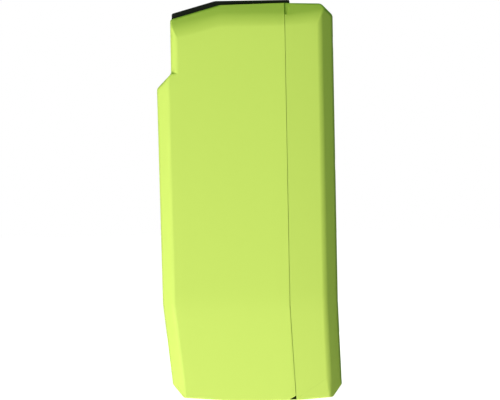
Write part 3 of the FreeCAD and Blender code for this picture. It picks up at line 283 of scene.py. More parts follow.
@dataclass(frozen=True)
class PolishedPlastic(Finish):
    """Glossy plastic: a clear skin with faint waviness, dust and hairline scratches."""

    roughness: float = 0.12
    waviness: float = 9.0 * MM
    coat: float = 0.6

    def make(self, paint: Paint) -> bpy.types.Material:
        """Builds the node tree."""
        waves = paint.noise(self.waviness, 1.0)
        dust = paint.ramp(paint.cells(2.6 * MM), 0.10, 0.03)
        scratches = paint.noise(0.25 * MM, 2.0, paint.stretched((0.05, 1.0, 1.0)))
        hairs = paint.ramp(scratches, 0.62, 0.80)
        smear = paint.ramp(paint.noise(14.0 * MM, 4.0), 0.45, 0.70)
        return paint.surface(
            Base_Color=paint.mix(dust * 0.35, self.colour, self.shade(6.0)),
            Roughness=self.roughness + smear * 0.10 + hairs * 0.12 + dust * 0.20,
            Coat_Weight=self.coat - smear * 0.25,
            Coat_Roughness=0.06,
            Normal=paint.bump(waves, 0.06 * MM, 0.35))


@dataclass(frozen=True)
class WorkedMetal(Finish):
    """Plated, brushed or rolled metal: fine lines one way, stains and dulled patches."""

    roughness: float = 0.30
    lines: tuple[float, float, float] = (1.0, 1.0, 0.04)
    pitch: float = 0.12 * MM

    def make(self, paint: Paint) -> bpy.types.Material:
        """Builds the node tree."""
        brushed = paint.noise(self.pitch, 2.0, paint.stretched(self.lines))
        stain = paint.ramp(paint.noise(4.0 * MM, 4.0), 0.42, 0.75)
        return paint.surface(
            Base_Color=paint.mix(stain * 0.5, self.colour, self.shade(0.72)),
            Metallic=1.0,
            Roughness=self.roughness + stain * 0.14 + (brushed - 0.5) * 0.12,
            Normal=paint.bump(brushed, 0.010 * MM, 0.4))


@dataclass(frozen=True)
class CellSleeve(Finish):
    """A cell: shrink sleeve with fine lines along it, bare steel at both ends."""

    half_length: float = 32.6 * MM
    bare: float = 0.25 * MM

    def make(self, paint: Paint) -> bpy.types.Material:
        """Builds the node tree."""
        end = abs(paint.place("X")) > self.half_length - self.bare
        lines = paint.noise(0.3 * MM, 2.0, paint.stretched((0.06, 1.0, 1.0)))
        cloud = paint.ramp(paint.noise(12.0 * MM, 3.0), 0.35, 0.65)
        sleeve = paint.mix(cloud, self.shade(0.90), self.shade(1.10))
        return paint.surface(
            Base_Color=paint.mix(end, sleeve, (0.66, 0.65, 0.62)),
            Metallic=end,
            Roughness=0.26 + lines * 0.10 + cloud * 0.05,
            Normal=paint.bump(lines, 0.015 * MM, 0.4))


@dataclass(frozen=True)
class CircuitBoard(Finish):
    """Solder mask over copper: tracks in two directions and vias."""

    track: float = 1.3 * MM

    def make(self, paint: Paint) -> bpy.types.Material:
        """Builds the node tree."""
        turn = 2.0 * math.pi / self.track
        along = paint.ramp((paint.place("X") * turn).wave(), 0.1, 0.3)
        across = paint.ramp((paint.place("Y") * turn).wave(), 0.1, 0.3)
        block = paint.noise(9.0 * MM, 0.0) > 0.5
        tracks = along * block + across * (1.0 - block)
        vias = paint.ramp(paint.cells(2.4 * MM), 0.16, 0.12)
        colour = paint.mix(tracks * 0.6, self.colour, self.shade(1.9))
        return paint.surface(
            Base_Color=paint.mix(vias, colour, (0.75, 0.60, 0.28)),
            Metallic=vias * 0.9,
            Roughness=0.34 + paint.noise(0.5 * MM) * 0.12,
            Coat_Weight=0.3,
            Normal=paint.bump(tracks + vias * 0.5, 0.04 * MM, 0.6))


@dataclass(frozen=True)
class PrintedFilm(Finish):
    """A blank label: a paler frame line, a lime foot band and a fine matt coating."""

    half_width: float = 26.0 * MM
    low: float = 48.0 * MM
    high: float = 108.0 * MM
    margin: float = 2.6 * MM
    line: float = 0.5 * MM
    band: float = 9.0 * MM
    accent: Colour = (0.44, 0.66, 0.06)

    def make(self, paint: Paint) -> bpy.types.Material:
        """Builds the node tree."""
        middle, half_height = (self.low + self.high) / 2, (self.high - self.low) / 2
        x, z = paint.place("X"), paint.place("Z")
        across, up = abs(x) - self.half_width, abs(z - middle) - half_height
        nearest = paint.node("ShaderNodeMath", {"operation": "MAXIMUM"}, {0: across, 1: up})
        frame_line = abs(nearest + (self.margin + self.line / 2)) < self.line / 2
        band = (nearest < -self.margin - self.line) * (z < self.low + self.margin + self.band)
        grain = paint.noise(0.35 * MM, 2.0)
        film = paint.mix(grain, self.shade(0.85), self.shade(1.15))
        colour = paint.mix(frame_line, film, (0.62, 0.64, 0.62))
        return paint.surface(
            Base_Color=paint.mix(band, colour, self.accent),
            Roughness=0.42 + grain * 0.12 - frame_line * 0.08,
            Normal=paint.bump(grain - frame_line * 0.3, 0.012 * MM, 0.4))


@dataclass(frozen=True)
class ClearPlastic(Finish):
    """Clear moulded acrylic with a frosted skin."""

    def make(self, paint: Paint) -> bpy.types.Material:
        """Builds the node tree."""
        frost = paint.noise(0.3 * MM, 2.0)
        return paint.surface(
            Base_Color=paint.mix(frost, self.shade(0.94), self.shade(1.04)),
            Roughness=0.16 + frost * 0.14,
            Transmission_Weight=0.75,
            IOR=1.49,
            Normal=paint.bump(frost, 0.008 * MM, 0.3))


@dataclass(frozen=True)
class FibreSheet(Finish):
    """Pressed fibre: long crossing fibres in a dull sheet."""

    fibre: float = 0.4 * MM

    def make(self, paint: Paint) -> bpy.types.Material:
        """Builds the node tree."""
        up = paint.noise(self.fibre, 3.0, paint.stretched((1.0, 1.0, 0.08)))
        over = paint.noise(self.fibre, 3.0, paint.stretched((1.0, 0.08, 1.0)))
        fibres = (up + over) * 0.5
        return paint.surface(
            Base_Color=paint.mix(paint.ramp(fibres, 0.35, 0.65), self.shade(0.8), self.shade(1.2)),
            Roughness=0.62 + fibres * 0.2,
            Normal=paint.bump(fibres, 0.03 * MM, 0.6))


@dataclass(frozen=True)
class SoftFoam(Finish):
    """Closed-cell foam or soft rubber: open bubbles or a fine matt skin, with painted shade in the bubble pits."""

    bubble: float = 0.8 * MM
    depth: float = 0.15 * MM

    def make(self, paint: Paint) -> bpy.types.Material:
        """Builds the node tree."""
        bubbles = paint.cells(self.bubble)
        cloud = paint.noise(self.bubble * 8)
        return paint.surface(
            # Painted shade: the base colour is darker inside the bubble pits and lighter on their rims, following
            # the bump.
            Base_Color=paint.mix(bubbles, self.shade(0.7), self.shade(1.2)),
            Roughness=0.72 + cloud * 0.18,
            Normal=paint.bump(bubbles, self.depth, 0.7))


@dataclass(frozen=True)
class RibbonJacket(Finish):
    """A flat cable: a groove between neighbouring wires, darkened as painted shade, and one marked edge."""

    middle: float = -16.0 * MM
    wire: float = 1.0 * MM
    half_width: float = 3.0 * MM

    def make(self, paint: Paint) -> bpy.types.Material:
        """Builds the node tree."""
        across = paint.place("X") - self.middle
        ridge = abs((across * (math.pi / self.wire)).wave())
        marked = (across > self.half_width - self.wire) * 1.0
        # Painted shade: the base colour is darker in the grooves between the wires, following the ridge of the
        # bump.
        colour = paint.mix(ridge, self.shade(0.75), self.colour)
        return paint.surface(
            Base_Color=paint.mix(marked, colour, (0.55, 0.06, 0.05)),
            Roughness=0.45 + paint.noise(0.6 * MM) * 0.1,
            Normal=paint.bump(ridge, 0.2 * MM, 0.7))


LIME = MouldedPlastic("lime_plastic", (0.61, 0.68, 0.060), roughness=0.42)
CAP_GLOSS = PolishedPlastic("cap_gloss", (0.012, 0.012, 0.013))
LABEL = PrintedFilm("label_film", (0.045, 0.045, 0.05))
ZINC = WorkedMetal("zinc_steel", (0.56, 0.57, 0.60), roughness=0.28)
NYLON = MouldedPlastic("black_nylon", (0.022, 0.022, 0.024), roughness=0.58, mottle=0.15,
                       depth=0.02 * MM)
BRASS = WorkedMetal("contact_brass", (0.80, 0.60, 0.28), roughness=0.24)
SOFT_KEY = SoftFoam("button_rubber", (0.075, 0.078, 0.085), bubble=0.25 * MM, depth=0.02 * MM)
STEM = MouldedPlastic("switch_stem", (0.66, 0.63, 0.56), roughness=0.5)
ACRYLIC = ClearPlastic("clear_acrylic", (0.90, 0.96, 0.90))
BOARD = CircuitBoard("green_board", (0.012, 0.12, 0.04))
LED = PolishedPlastic("led_lens", (0.70, 0.86, 0.62), roughness=0.10, waviness=1.2 * MM)
NATURAL = MouldedPlastic("white_nylon", (0.74, 0.71, 0.62), roughness=0.5, texture=0.3 * MM)
HOLDER = MouldedPlastic("holder_plastic", (0.035, 0.036, 0.04), roughness=0.5, mottle=0.12)
FISH_PAPER = FibreSheet("fish_paper", (0.16, 0.28, 0.20))
EPOXY = MouldedPlastic("chip_epoxy", (0.02, 0.02, 0.022), roughness=0.62, texture=0.12 * MM)
RIBBON = RibbonJacket("flat_cable", (0.70, 0.70, 0.72))
FOAM = SoftFoam("grey_foam", (0.10, 0.10, 0.11))
SLEEVE = CellSleeve("cell_wrap", (0.02, 0.20, 0.28))
NICKEL = WorkedMetal("nickel_strip", (0.68, 0.66, 0.61), roughness=0.34, lines=(1.0, 0.04, 1.0))
FINISHES = (LIME, CAP_GLOSS, LABEL, ZINC, NYLON, BRASS, SOFT_KEY, STEM, ACRYLIC, BOARD, LED,
            NATURAL, HOLDER, FISH_PAPER, EPOXY, RIBBON, FOAM, SLEEVE, NICKEL)


# ---------------------------------------------------------------------------------------------
# Meshes
# ---------------------------------------------------------------------------------------------

def welded_copy(node: str) -> bmesh.types.BMesh:
    """A CAD node's surface with its triangles joined at their corners."""
    mesh = bmesh.new()
    mesh.from_mesh(frame["nodes"][node].data)
    bmesh.ops.remove_doubles(mesh, verts=mesh.verts, dist=WELD)
    return mesh


def as_object(name: str, mesh: bmesh.types.BMesh) -> bpy.types.Object:
    """Puts a mesh into the scene as a new object, and uses it up."""
    data = bpy.data.meshes.new(name)
    mesh.to_mesh(data)
    mesh.free()
    made = bpy.data.objects.new(name, data)
    bpy.context.scene.collection.objects.link(made)
    return made


def discard(item: bpy.types.Object) -> None:
    """Removes a working object and its mesh."""
    data = item.data
    bpy.data.objects.remove(item)
    bpy.data.meshes.remove(data)


def bevelled(mesh: bmesh.types.BMesh, edges: list[bmesh.types.BMEdge], width: float,
             segments: int) -> None:
    """Rounds edges of a mesh by one width."""
    bmesh.ops.bevel(mesh, geom=edges, offset=width, offset_type="OFFSET", segments=segments,
                    profile=0.5, affect="EDGES", clamp_overlap=True, material=-1)
    mesh.normal_update()


def turned(points: list[tuple[float, float, float]], axis: tuple[int, int, int],
           steps: int) -> bmesh.types.BMesh:
    """Turns a line of points once around an axis through the origin.

    Args:
        points: The line, from end to end.
        axis: The axis to turn about.
        steps: Sides of the round.

    Returns:
        The turned surface.
    """
    mesh = bmesh.new()
    verts = [mesh.verts.new(point) for point in points]
    edges = [mesh.edges.new(pair) for pair in zip(verts, verts[1:])]
    bmesh.ops.spin(mesh, geom=verts + edges, cent=(0, 0, 0), axis=axis, angle=2 * math.pi,
                   steps=steps, use_merge=True)
    bmesh.ops.remove_doubles(mesh, verts=mesh.verts, dist=HAIR)
    return mesh


def merged_copy(node: str, cuts: tuple[tuple[Vector, Vector], ...] = ()) -> bmesh.types.BMesh:
    """A CAD node's surface with its triangles merged into flat faces without holes.

    Args:
        node: The node's name.
        cuts: A point and a normal of each plane that parts the faces, so that every opening
            is reached by one and no face closes around it.

    Returns:
        A new mesh to work on.
    """
    mesh = welded_copy(node)
    for point, normal in cuts:
        made = bmesh.ops.bisect_plane(mesh, geom=mesh.verts[:] + mesh.edges[:] + mesh.faces[:],
                                      dist=HAIR, plane_co=point, plane_no=normal)
        for item in made["geom_cut"]:
            if isinstance(item, bmesh.types.BMEdge):
                item.seam = True
    flattened(mesh)
    return mesh


def piece(name: str, mesh: bmesh.types.BMesh, finish: Finish, body: str,
          stands_for: str | None = None) -> bpy.types.Object:
    """Puts a finished mesh into the scene as one piece of the pack.

    Args:
        name: The piece's name.
        mesh: Its mesh, used up here.
        finish: Its finish.
        body: The body that it moves with.
        stands_for: The CAD node that it replaces.

    Returns:
        The new object.
    """
    made = as_object(name, mesh)
    made.data.materials.append(finish.material())
    made.data.shade_smooth()
    made.data.set_sharp_from_angle(angle=math.radians(SHARP))
    weighted = made.modifiers.new("even_flats", "WEIGHTED_NORMAL")
    weighted.keep_sharp = True
    weighted.weight = 100
    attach(made, body)
    if stands_for:
        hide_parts(stands_for)
    LOG.info("%s: %d faces, %s, on %s", name, len(made.data.polygons), finish.slot, body)
    return made


def solid_boxes(node: str) -> list[tuple[Vector, Vector]]:
    """The box around each separate solid of a CAD node.

    Args:
        node: The node's name.

    Returns:
        The low and the high corner of every box, in order of the low ones.
    """
    mesh = welded_copy(node)
    left, boxes = set(mesh.verts), []
    while left:
        front = [left.pop()]
        solid = list(front)
        while front:
            for edge in front.pop().link_edges:
                for vert in edge.verts:
                    if vert in left:
                        left.remove(vert)
                        front.append(vert)
                        solid.append(vert)
        corners = [[pick(vert.co[axis] for vert in solid) for axis in range(3)]
                   for pick in (min, max)]
        boxes.append((Vector(corners[0]), Vector(corners[1])))
    mesh.free()
    return sorted(boxes, key=lambda box: tuple(box[0]))


def flattened(mesh: bmesh.types.BMesh) -> None:
    """Merges the level faces of a mesh into whole ones, up to its seams."""
    bmesh.ops.dissolve_limit(mesh, angle_limit=math.radians(LEVEL), verts=mesh.verts,
                             edges=mesh.edges, use_dissolve_boundaries=False,
                             delimit={"SEAM"})
    mesh.normal_update()


def modified(mesh: bmesh.types.BMesh, kind: str, **settings: object) -> bmesh.types.BMesh:
    """Runs one modifier over a mesh.

    Args:
        mesh: The mesh, used up here.
        kind: The modifier's type.
        **settings: Its settings.

    Returns:
        The changed mesh.
    """
    holder = as_object("working", mesh)
    modifier = holder.modifiers.new("step", kind)
    for key, value in settings.items():
        setattr(modifier, key, value)
    graph = bpy.context.evaluated_depsgraph_get()
    result = bmesh.new()
    result.from_mesh(holder.evaluated_get(graph).to_mesh())
    discard(holder)
    result.normal_update()
    return result


def carved(mesh: bmesh.types.BMesh, cutter: bmesh.types.BMesh) -> bmesh.types.BMesh:
    """Cuts one mesh out of another, and uses both up."""
    bmesh.ops.recalc_face_normals(cutter, faces=cutter.faces)
    tool = as_object("cutter", cutter)
    result = modified(mesh, "BOOLEAN", operation="DIFFERENCE", solver="MANIFOLD", object=tool)
    discard(tool)
    return result


class Facing(Enum):
    """Which way a face of the casing looks."""

    SIDE = "side"
    BAND = "band along the top of a side"
    FRONT_CORNER = "bevel of a front upright edge"
    REAR_CORNER = "bevel of a rear upright edge"
    END = "front, rear, top or foot"


def facing_of(normal: Vector) -> Facing:
    """Sorts a face of the casing by its outward direction.

    Args:
        normal: The face's outward unit normal.

    Returns:
        Its facing.
    """
    across = abs(normal.x)
    if across > 0.97:
        return Facing.SIDE
    if across > 0.5 and normal.z > 0.3:
        return Facing.BAND
    if across > 0.4 and abs(normal.y) > 0.4:
        return Facing.REAR_CORNER if normal.y > 0 else Facing.FRONT_CORNER
    return Facing.END


class Rounder:
    """Rounds the outside edges of a merged CAD surface, each by the width its place asks for.

    Down at the foot every width is kept small and the openings keep sharp rims.
    """

    WIDEST = 3.2 * MM
    SHOWN = "outside_face"
    SAME_SIDE = frozenset((Facing.SIDE,))
    FOOT_HEIGHT = 8.2 * MM
    FOOT_WIDTH = 0.6 * MM
    SMALL_FACE = 60.0 * MM * MM
    SMALL_WIDTH = 0.35 * MM
    PLAIN = frozenset((Facing.SIDE, Facing.END))
    FAINT_FOLD = 1.2
    PLAIN_FOLD = 8.0
    RIM_FOLD = 35.0
    PROBE_CORNERS = 4
    PROBE_SHARE = 0.6
    PROBE_LIFT = 0.02 * MM

    def __init__(self, shield: list[str]) -> None:
        """Keeps the closed surface that tells outside faces from inside ones.

        Args:
            shield: Nodes that together close the object.
        """
        closed = bmesh.new()
        for node in shield:
            closed.from_mesh(frame["nodes"][node].data)
        self.shield = BVHTree.FromBMesh(closed)
        closed.free()

    def outside(self, face: bmesh.types.BMFace) -> bool:
        """Whether nothing stands in front of a face, tried at its middle and near corners."""
        middle = face.calc_center_median()
        starts = [middle] + [middle.lerp(corner.co, self.PROBE_SHARE)
                             for corner in face.verts[:self.PROBE_CORNERS]]
        lift = face.normal * self.PROBE_LIFT
        return all(self.shield.ray_cast(start + lift, face.normal)[0] is None
                   for start in starts)

    def rounded(self, mesh: bmesh.types.BMesh, widths: dict[frozenset[Facing], float],
                default: float, mouth: float, segments: int = 5) -> bmesh.types.BMesh:
        """Rounds a surface in two passes: the outside edges, then its rims and openings.

        Args:
            mesh: The merged surface, used up here.
            widths: Bevel width for an edge between two facings.
            default: Bevel width for every other outside edge.
            mouth: Bevel width for the rim of each opening and of the parting face, above
                the foot.
            segments: Steps of a rounded outside edge.

        Returns:
            The rounded surface.
        """
        weight = mesh.edges.layers.float.new("bevel_weight_edge")
        shown = mesh.faces.layers.int.new(self.SHOWN)
        out = {face: self.outside(face) for face in mesh.faces}
        for face in mesh.faces:
            face[shown] = int(out[face])
        for edge in mesh.edges:
            if len(edge.link_faces) != 2:
                continue
            first, second = edge.link_faces
            if not (out[first] and out[second]):
                continue
            angle = math.degrees(edge.calc_face_angle(0.0))
            kinds = frozenset((facing_of(first.normal), facing_of(second.normal)))
            run = edge.verts[1].co - edge.verts[0].co
            if kinds == self.SAME_SIDE and abs(run.z) > abs(run.y):
                continue
            if angle < self.FAINT_FOLD or (angle < self.PLAIN_FOLD and kinds not in widths):
                continue
            width = widths.get(kinds, default)
            if max(corner.co.z for corner in edge.verts) < self.FOOT_HEIGHT:
                width = min(width, self.FOOT_WIDTH)
            if kinds <= self.PLAIN and min(first.calc_area(),
                                           second.calc_area()) < self.SMALL_FACE:
                width = min(width, self.SMALL_WIDTH)
            edge[weight] = width / self.WIDEST
        soft = modified(mesh, "BEVEL", limit_method="WEIGHT", offset_type="OFFSET",
                        width=self.WIDEST, segments=segments, profile=0.5,
                        use_clamp_overlap=False, loop_slide=False, miter_outer="MITER_SHARP")
        self._round_mouths(soft, mouth)
        return soft

    def _round_mouths(self, mesh: bmesh.types.BMesh, mouth: float) -> None:
        """Breaks the rim above the foot where an outside face meets one that is covered."""
        shown = mesh.faces.layers.int[self.SHOWN]
        rims = [edge for edge in mesh.edges if len(edge.link_faces) == 2
                and edge.link_faces[0][shown] != edge.link_faces[1][shown]
                and math.degrees(edge.calc_face_angle(0.0)) > self.RIM_FOLD
                and max(corner.co.z for corner in edge.verts) > self.FOOT_HEIGHT
                and edge.is_convex]
        bevelled(mesh, rims, mouth, 2)
        bmesh.ops.dissolve_degenerate(mesh, dist=HAIR, edges=mesh.edges)
        mesh.normal_update()


# ---------------------------------------------------------------------------------------------
# Sub-assemblies
# ---------------------------------------------------------------------------------------------

@dataclass
class Casing:
    """The two lime shells with their soft edges and the parting line between them."""

    body: str = "case"
    crease: float = 2.6 * MM
    band: float = 3.2 * MM
    rear_corner: float = 1.4 * MM
    front_corner: float = 1.1 * MM
    edge: float = 0.8 * MM
    rim: float = 0.15 * MM
    parting_rim: float = 0.25 * MM
    parting_gap: float = 0.16 * MM
    screws: str = "housing_screws"
    head_play: float = 0.2 * MM
    head_sunk: float = 0.2 * MM
    hole_margin: float = 0.05 * MM
    hole_steps: int = 64
    shank_hole: float = 1.6 * MM
    shank_end: float = 10.0 * MM
    parting_outside: float = 43.0 * MM
    parting_facing: float = 0.95
    relief_end: float = 17.3 * MM
    relief_depth: float = 0.5 * MM
    relief_reach: float = 3.0 * MM
    relief_weld: float = 0.07 * MM

    def build(self) -> None:
        """Makes both shells."""
        widths = {
            frozenset((Facing.SIDE,)): self.crease,
            frozenset((Facing.SIDE, Facing.BAND)): self.band,
            frozenset((Facing.SIDE, Facing.REAR_CORNER)): self.rear_corner,
            frozenset((Facing.END, Facing.REAR_CORNER)): self.rear_corner,
            frozenset((Facing.SIDE, Facing.FRONT_CORNER)): self.front_corner,
            frozenset((Facing.END, Facing.FRONT_CORNER)): self.front_corner,
        }
        rounder = Rounder(["front_shell", "rear_shell", "terminal_housing", "top_cap"])
        middle = (Vector(), Vector((1.0, 0.0, 0.0)))
        heights = sorted({round((low.z + high.z) / 2, 5)
                          for low, high in solid_boxes(self.screws)})
        levels = [(Vector((0.0, 0.0, height)), Vector((0.0, 0.0, 1.0))) for height in heights]
        front = rounder.rounded(merged_copy("front_shell", (middle, *levels)), widths,
                                self.edge, self.parting_rim)
        piece("front_shell_moulding", front, LIME, self.body, "front_shell")
        rear = merged_copy("rear_shell", (middle, *levels))
        cutter = bmesh.new()
        self.plug_screw_holes(rear, cutter)
        self.plug_reliefs(rear, cutter)
        self.open_parting(rear)
        flattened(rear)
        rear = carved(rounder.rounded(rear, widths, self.edge, self.rim), cutter)
        piece("rear_shell_moulding", rear, LIME, self.body, "rear_shell")

    def plug_screw_holes(self, mesh: bmesh.types.BMesh, cutter: bmesh.types.BMesh) -> None:
        """Closes the screws' holes for the rounding and adds what cuts them again.

        Args:
            mesh: The rear shell.
            cutter: Collects the cutting shapes.
        """
        for low, high in solid_boxes(self.screws):
            x, z = (low.x + high.x) / 2, (low.z + high.z) / 2
            wide = (high.x - low.x) / 2 + self.head_play
            reach = wide + self.hole_margin
            inner = [face for face in mesh.faces
                     if all(math.hypot(corner.co.x - x, corner.co.z - z) < reach
                            for corner in face.verts)]
            bmesh.ops.delete(mesh, geom=inner, context="FACES")
            rims = [edge for edge in mesh.edges if edge.is_boundary]
            bmesh.ops.holes_fill(mesh, edges=rims, sides=0)
            face = high.y + self.head_sunk
            seat = high.y - HEAD_THICK
            profile = [(0.0, self.shank_end), (self.shank_hole, self.shank_end),
                       (self.shank_hole, seat), (wide, seat), (wide, face - self.rim / 2),
                       (wide + self.rim, face + self.rim / 2), (wide + self.rim, face + wide),
                       (0.0, face + wide)]
            rod = turned([(across, along, 0.0) for across, along in profile], (0, 1, 0),
                         self.hole_steps)
            rod.transform(Matrix.Translation((x, 0.0, z)))
            self.collect(cutter, rod)

    def plug_reliefs(self, mesh: bmesh.types.BMesh, cutter: bmesh.types.BMesh) -> None:
        """Fills the pry reliefs beside the parting line and adds what cuts them again.

        Args:
            mesh: The rear shell.
            cutter: Collects the cutting shapes.
        """
        floors = [face for face in mesh.faces if facing_of(face.normal) is Facing.BAND
                  and max(corner.co.y for corner in face.verts) < self.relief_end]
        for face in floors:
            side = math.copysign(1.0, face.normal.x)
            along_y = [corner.co.y for corner in face.verts]
            low = min((corner.co.copy() for corner in face.verts), key=lambda at: at.z)
            high = max((corner.co.copy() for corner in face.verts), key=lambda at: at.z)
            block = bmesh.new()
            corners = [(low.x, low.z), (high.x, high.z),
                       (high.x, high.z + self.relief_reach),
                       (high.x + side * self.relief_reach, high.z + self.relief_reach),
                       (low.x + side * self.relief_reach, low.z)]
            rings = [[block.verts.new((x, y, z)) for x, z in corners]
                     for y in (min(along_y) - self.relief_reach, max(along_y))]
            block.faces.new(rings[0])
            block.faces.new(rings[1])
            for number, corner in enumerate(rings[0]):
                after = (number + 1) % len(corners)
                block.faces.new((corner, rings[0][after], rings[1][after], rings[1][number]))
            self.collect(cutter, block)
            for corner in face.verts:
                corner.co.x += side * self.relief_depth
        bmesh.ops.remove_doubles(mesh, verts=mesh.verts, dist=self.relief_weld)

    def open_parting(self, mesh: bmesh.types.BMesh) -> None:
        """Draws the rear shell's outer rim back, so that the parting line is a fine gap."""
        rim = set()
        for face in mesh.faces:
            reach = max(abs(corner.co.x) for corner in face.verts)
            if face.normal.y < -self.parting_facing and reach > self.parting_outside:
                rim.update(face.verts)
        for corner in rim:
            corner.co.y += self.parting_gap

    @staticmethod
    def collect(cutter: bmesh.types.BMesh, part: bmesh.types.BMesh) -> None:
        """Adds one closed shape to the cutter and uses it up."""
        bmesh.ops.recalc_face_normals(part, faces=part.faces)
        data = bpy.data.meshes.new("part")
        part.to_mesh(data)
        part.free()
        cutter.from_mesh(data)
        bpy.data.meshes.remove(data)


@dataclass
class Cap:
    """The glossy cap over the charge gauge, its windows and its button."""

    edge: float = 0.55 * MM
    rim: float = 0.22 * MM
    dish_inset: float = 1.1 * MM
    dish_depth: float = 0.30 * MM
    bar_long: float = 2.6 * MM
    bar_wide: float = 0.7 * MM
    bar_rise: float = 0.22 * MM
    bar_pitch: float = 1.5 * MM
    bar_edge: float = 0.08 * MM
    bar_count: int = 3

    def build(self) -> None:
        """Makes the cap and the button."""
        self.make_cap()
        self.make_button()

    def make_cap(self) -> None:
        """The black slab with rounded edges round the windows."""
        rounder = Rounder(["top_cap", "front_shell", "rear_shell"])
        soft = rounder.rounded(merged_copy("top_cap"), {}, self.edge, self.rim, segments=4)
        piece("top_cap_cover", soft, CAP_GLOSS, "case", "top_cap")

    def make_button(self) -> None:
        """The rubber key: its face is dished and carries raised level bars."""
        mesh = merged_copy("gauge_button")
        out = -Vector(frame["joints"][0]["axis"]).normalized()
        top = max(mesh.faces, key=lambda face: face.calc_center_median().dot(out))
        bevelled(mesh, list(top.edges), self.edge, 4)
        top = max(mesh.faces, key=lambda face: face.calc_center_median().dot(out)
                  + face.calc_area())
        bmesh.ops.inset_region(mesh, faces=[top], thickness=self.dish_inset, depth=0.0)
        bmesh.ops.inset_region(mesh, faces=[top], thickness=self.dish_depth,
                               depth=-self.dish_depth)
        centre = top.calc_center_median()
        along = Vector((1.0, 0.0, 0.0))
        turn = Matrix((along, out.cross(along), out)).transposed().to_4x4()
        for number in range(self.bar_count):
            shift = (number - (self.bar_count - 1) / 2) * self.bar_pitch
            made = bmesh.ops.create_cube(mesh, size=1.0)["verts"]
            size = Matrix.Diagonal((self.bar_wide, self.bar_long, 2 * self.bar_rise, 1.0))
            place = Matrix.Translation(centre + along * shift)
            bmesh.ops.transform(mesh, matrix=place @ turn @ size, verts=made)
            edges = {edge for vert in made for edge in vert.link_edges}
            bevelled(mesh, list(edges), self.bar_edge, 2)
        piece("gauge_button_key", mesh, SOFT_KEY, "button", "gauge_button")


@dataclass
class Label:
    """The blank film in the recess of the front face."""

    corner: float = 3.0 * MM
    edge: float = 0.06 * MM
    thin_share: float = 0.05

    def build(self) -> None:
        """Makes the film with round corners."""
        mesh = merged_copy("front_label")
        longest = max(edge.calc_length() for edge in mesh.edges)
        thickness = [edge for edge in mesh.edges if edge.calc_length() < longest * self.thin_share]
        bevelled(mesh, thickness, self.corner, 8)
        face = min(mesh.faces, key=lambda item: item.normal.y - item.calc_area())
        bevelled(mesh, list(face.edges), self.edge, 2)
        piece("front_label_film", mesh, LABEL, "case", "front_label")


@dataclass
class CaseScrews:
    """Six thread-forming screws with lobed recesses, driven from the rear."""

    node: str = "housing_screws"
    crown: float = 0.35 * MM
    shank_share: float = 0.58
    recess_share: float = 0.56
    recess_depth: float = 1.0 * MM
    recess_taper: float = 0.92
    lobe: float = 0.20
    lobes: int = 6
    steps: int = 48

    def build(self) -> None:
        """Makes all six as one piece."""
        whole = bmesh.new()
        for low, high in solid_boxes(self.node):
            screw = self.make_screw((high.x - low.x) / 2, high.y - low.y)
            middle = Vector(((low.x + high.x) / 2, low.y, (low.z + high.z) / 2))
            screw.transform(Matrix.Translation(middle) @ Matrix.Rotation(-math.pi / 2, 4, "X"))
            whole.from_mesh(screw)
            bpy.data.meshes.remove(screw)
        piece("case_screws", whole, ZINC, "case", self.node)

    def make_screw(self, radius: float, length: float) -> bpy.types.Mesh:
        """Turns one screw about Z, its point at the origin and its head on top.

        Args:
            radius: The head's radius.
            length: From the point to the top of the head.

        Returns:
            The screw's mesh.
        """
        shank = radius * self.shank_share
        seat = length - HEAD_THICK
        profile = [(0.0, 0.0), (shank * 0.5, 0.0), (shank, shank), (shank, seat), (radius, seat),
                   (radius, length - self.crown), (radius - self.crown, length)]
        mesh = turned([(across, 0.0, along) for across, along in profile], (0, 0, 1),
                      self.steps)
        rim = [edge for edge in mesh.edges if edge.is_boundary]
        top = bmesh.ops.edgeloop_fill(mesh, edges=rim)["faces"][0]
        bmesh.ops.recalc_face_normals(mesh, faces=mesh.faces)
        self.cut_recess(mesh, top)
        made = bpy.data.meshes.new("screw")
        mesh.to_mesh(made)
        mesh.free()
        return made

    def cut_recess(self, mesh: bmesh.types.BMesh, top: bmesh.types.BMFace) -> None:
        """Sinks a lobed recess into a screw's top face."""
        rim = max(vert.co.xy.length for vert in top.verts)
        bmesh.ops.inset_region(mesh, faces=[top], thickness=rim * (1 - self.recess_share))
        for vert in top.verts:
            angle = math.atan2(vert.co.y, vert.co.x)
            share = 1.0 + self.lobe * math.cos(self.lobes * angle)
            vert.co.x *= share
            vert.co.y *= share
        floor = bmesh.ops.extrude_discrete_faces(mesh, faces=[top])["faces"][0]
        bmesh.ops.translate(mesh, vec=(0, 0, -self.recess_depth), verts=list(floor.verts))
        bmesh.ops.scale(mesh, vec=(self.recess_taper, self.recess_taper, 1.0),
                        verts=list(floor.verts))


@dataclass
class Terminals:
    """The black housing with the blade slots in the foot."""

    edge: float = 0.30 * MM
    rim: float = 0.15 * MM

    def build(self) -> None:
        """Makes the housing; its contacts keep their CAD shape."""
        rounder = Rounder(["terminal_housing", "front_shell", "rear_shell"])
        soft = rounder.rounded(merged_copy("terminal_housing"), {}, self.edge, self.rim, 3)
        piece("terminal_block", soft, NYLON, "case", "terminal_housing")


@dataclass
class Internals:
    """Everything that keeps its CAD shape and only gets its finish."""

    def build(self) -> None:
        """Gives each CAD node the finish of its slot."""
        by_slot = {finish.slot: finish for finish in FINISHES}
        for row in frame["record"]["subparts"]:
            node = frame["nodes"][row["node"]]
            node.data.materials.clear()
            node.data.materials.append(by_slot[row["material_slot"]].material())
            for polygon in node.data.polygons:
                polygon.material_index = 0
            LOG.info("%s keeps its shape, %s", row["node"], row["material_slot"])


# ---------------------------------------------------------------------------------------------
# Studio
# ---------------------------------------------------------------------------------------------

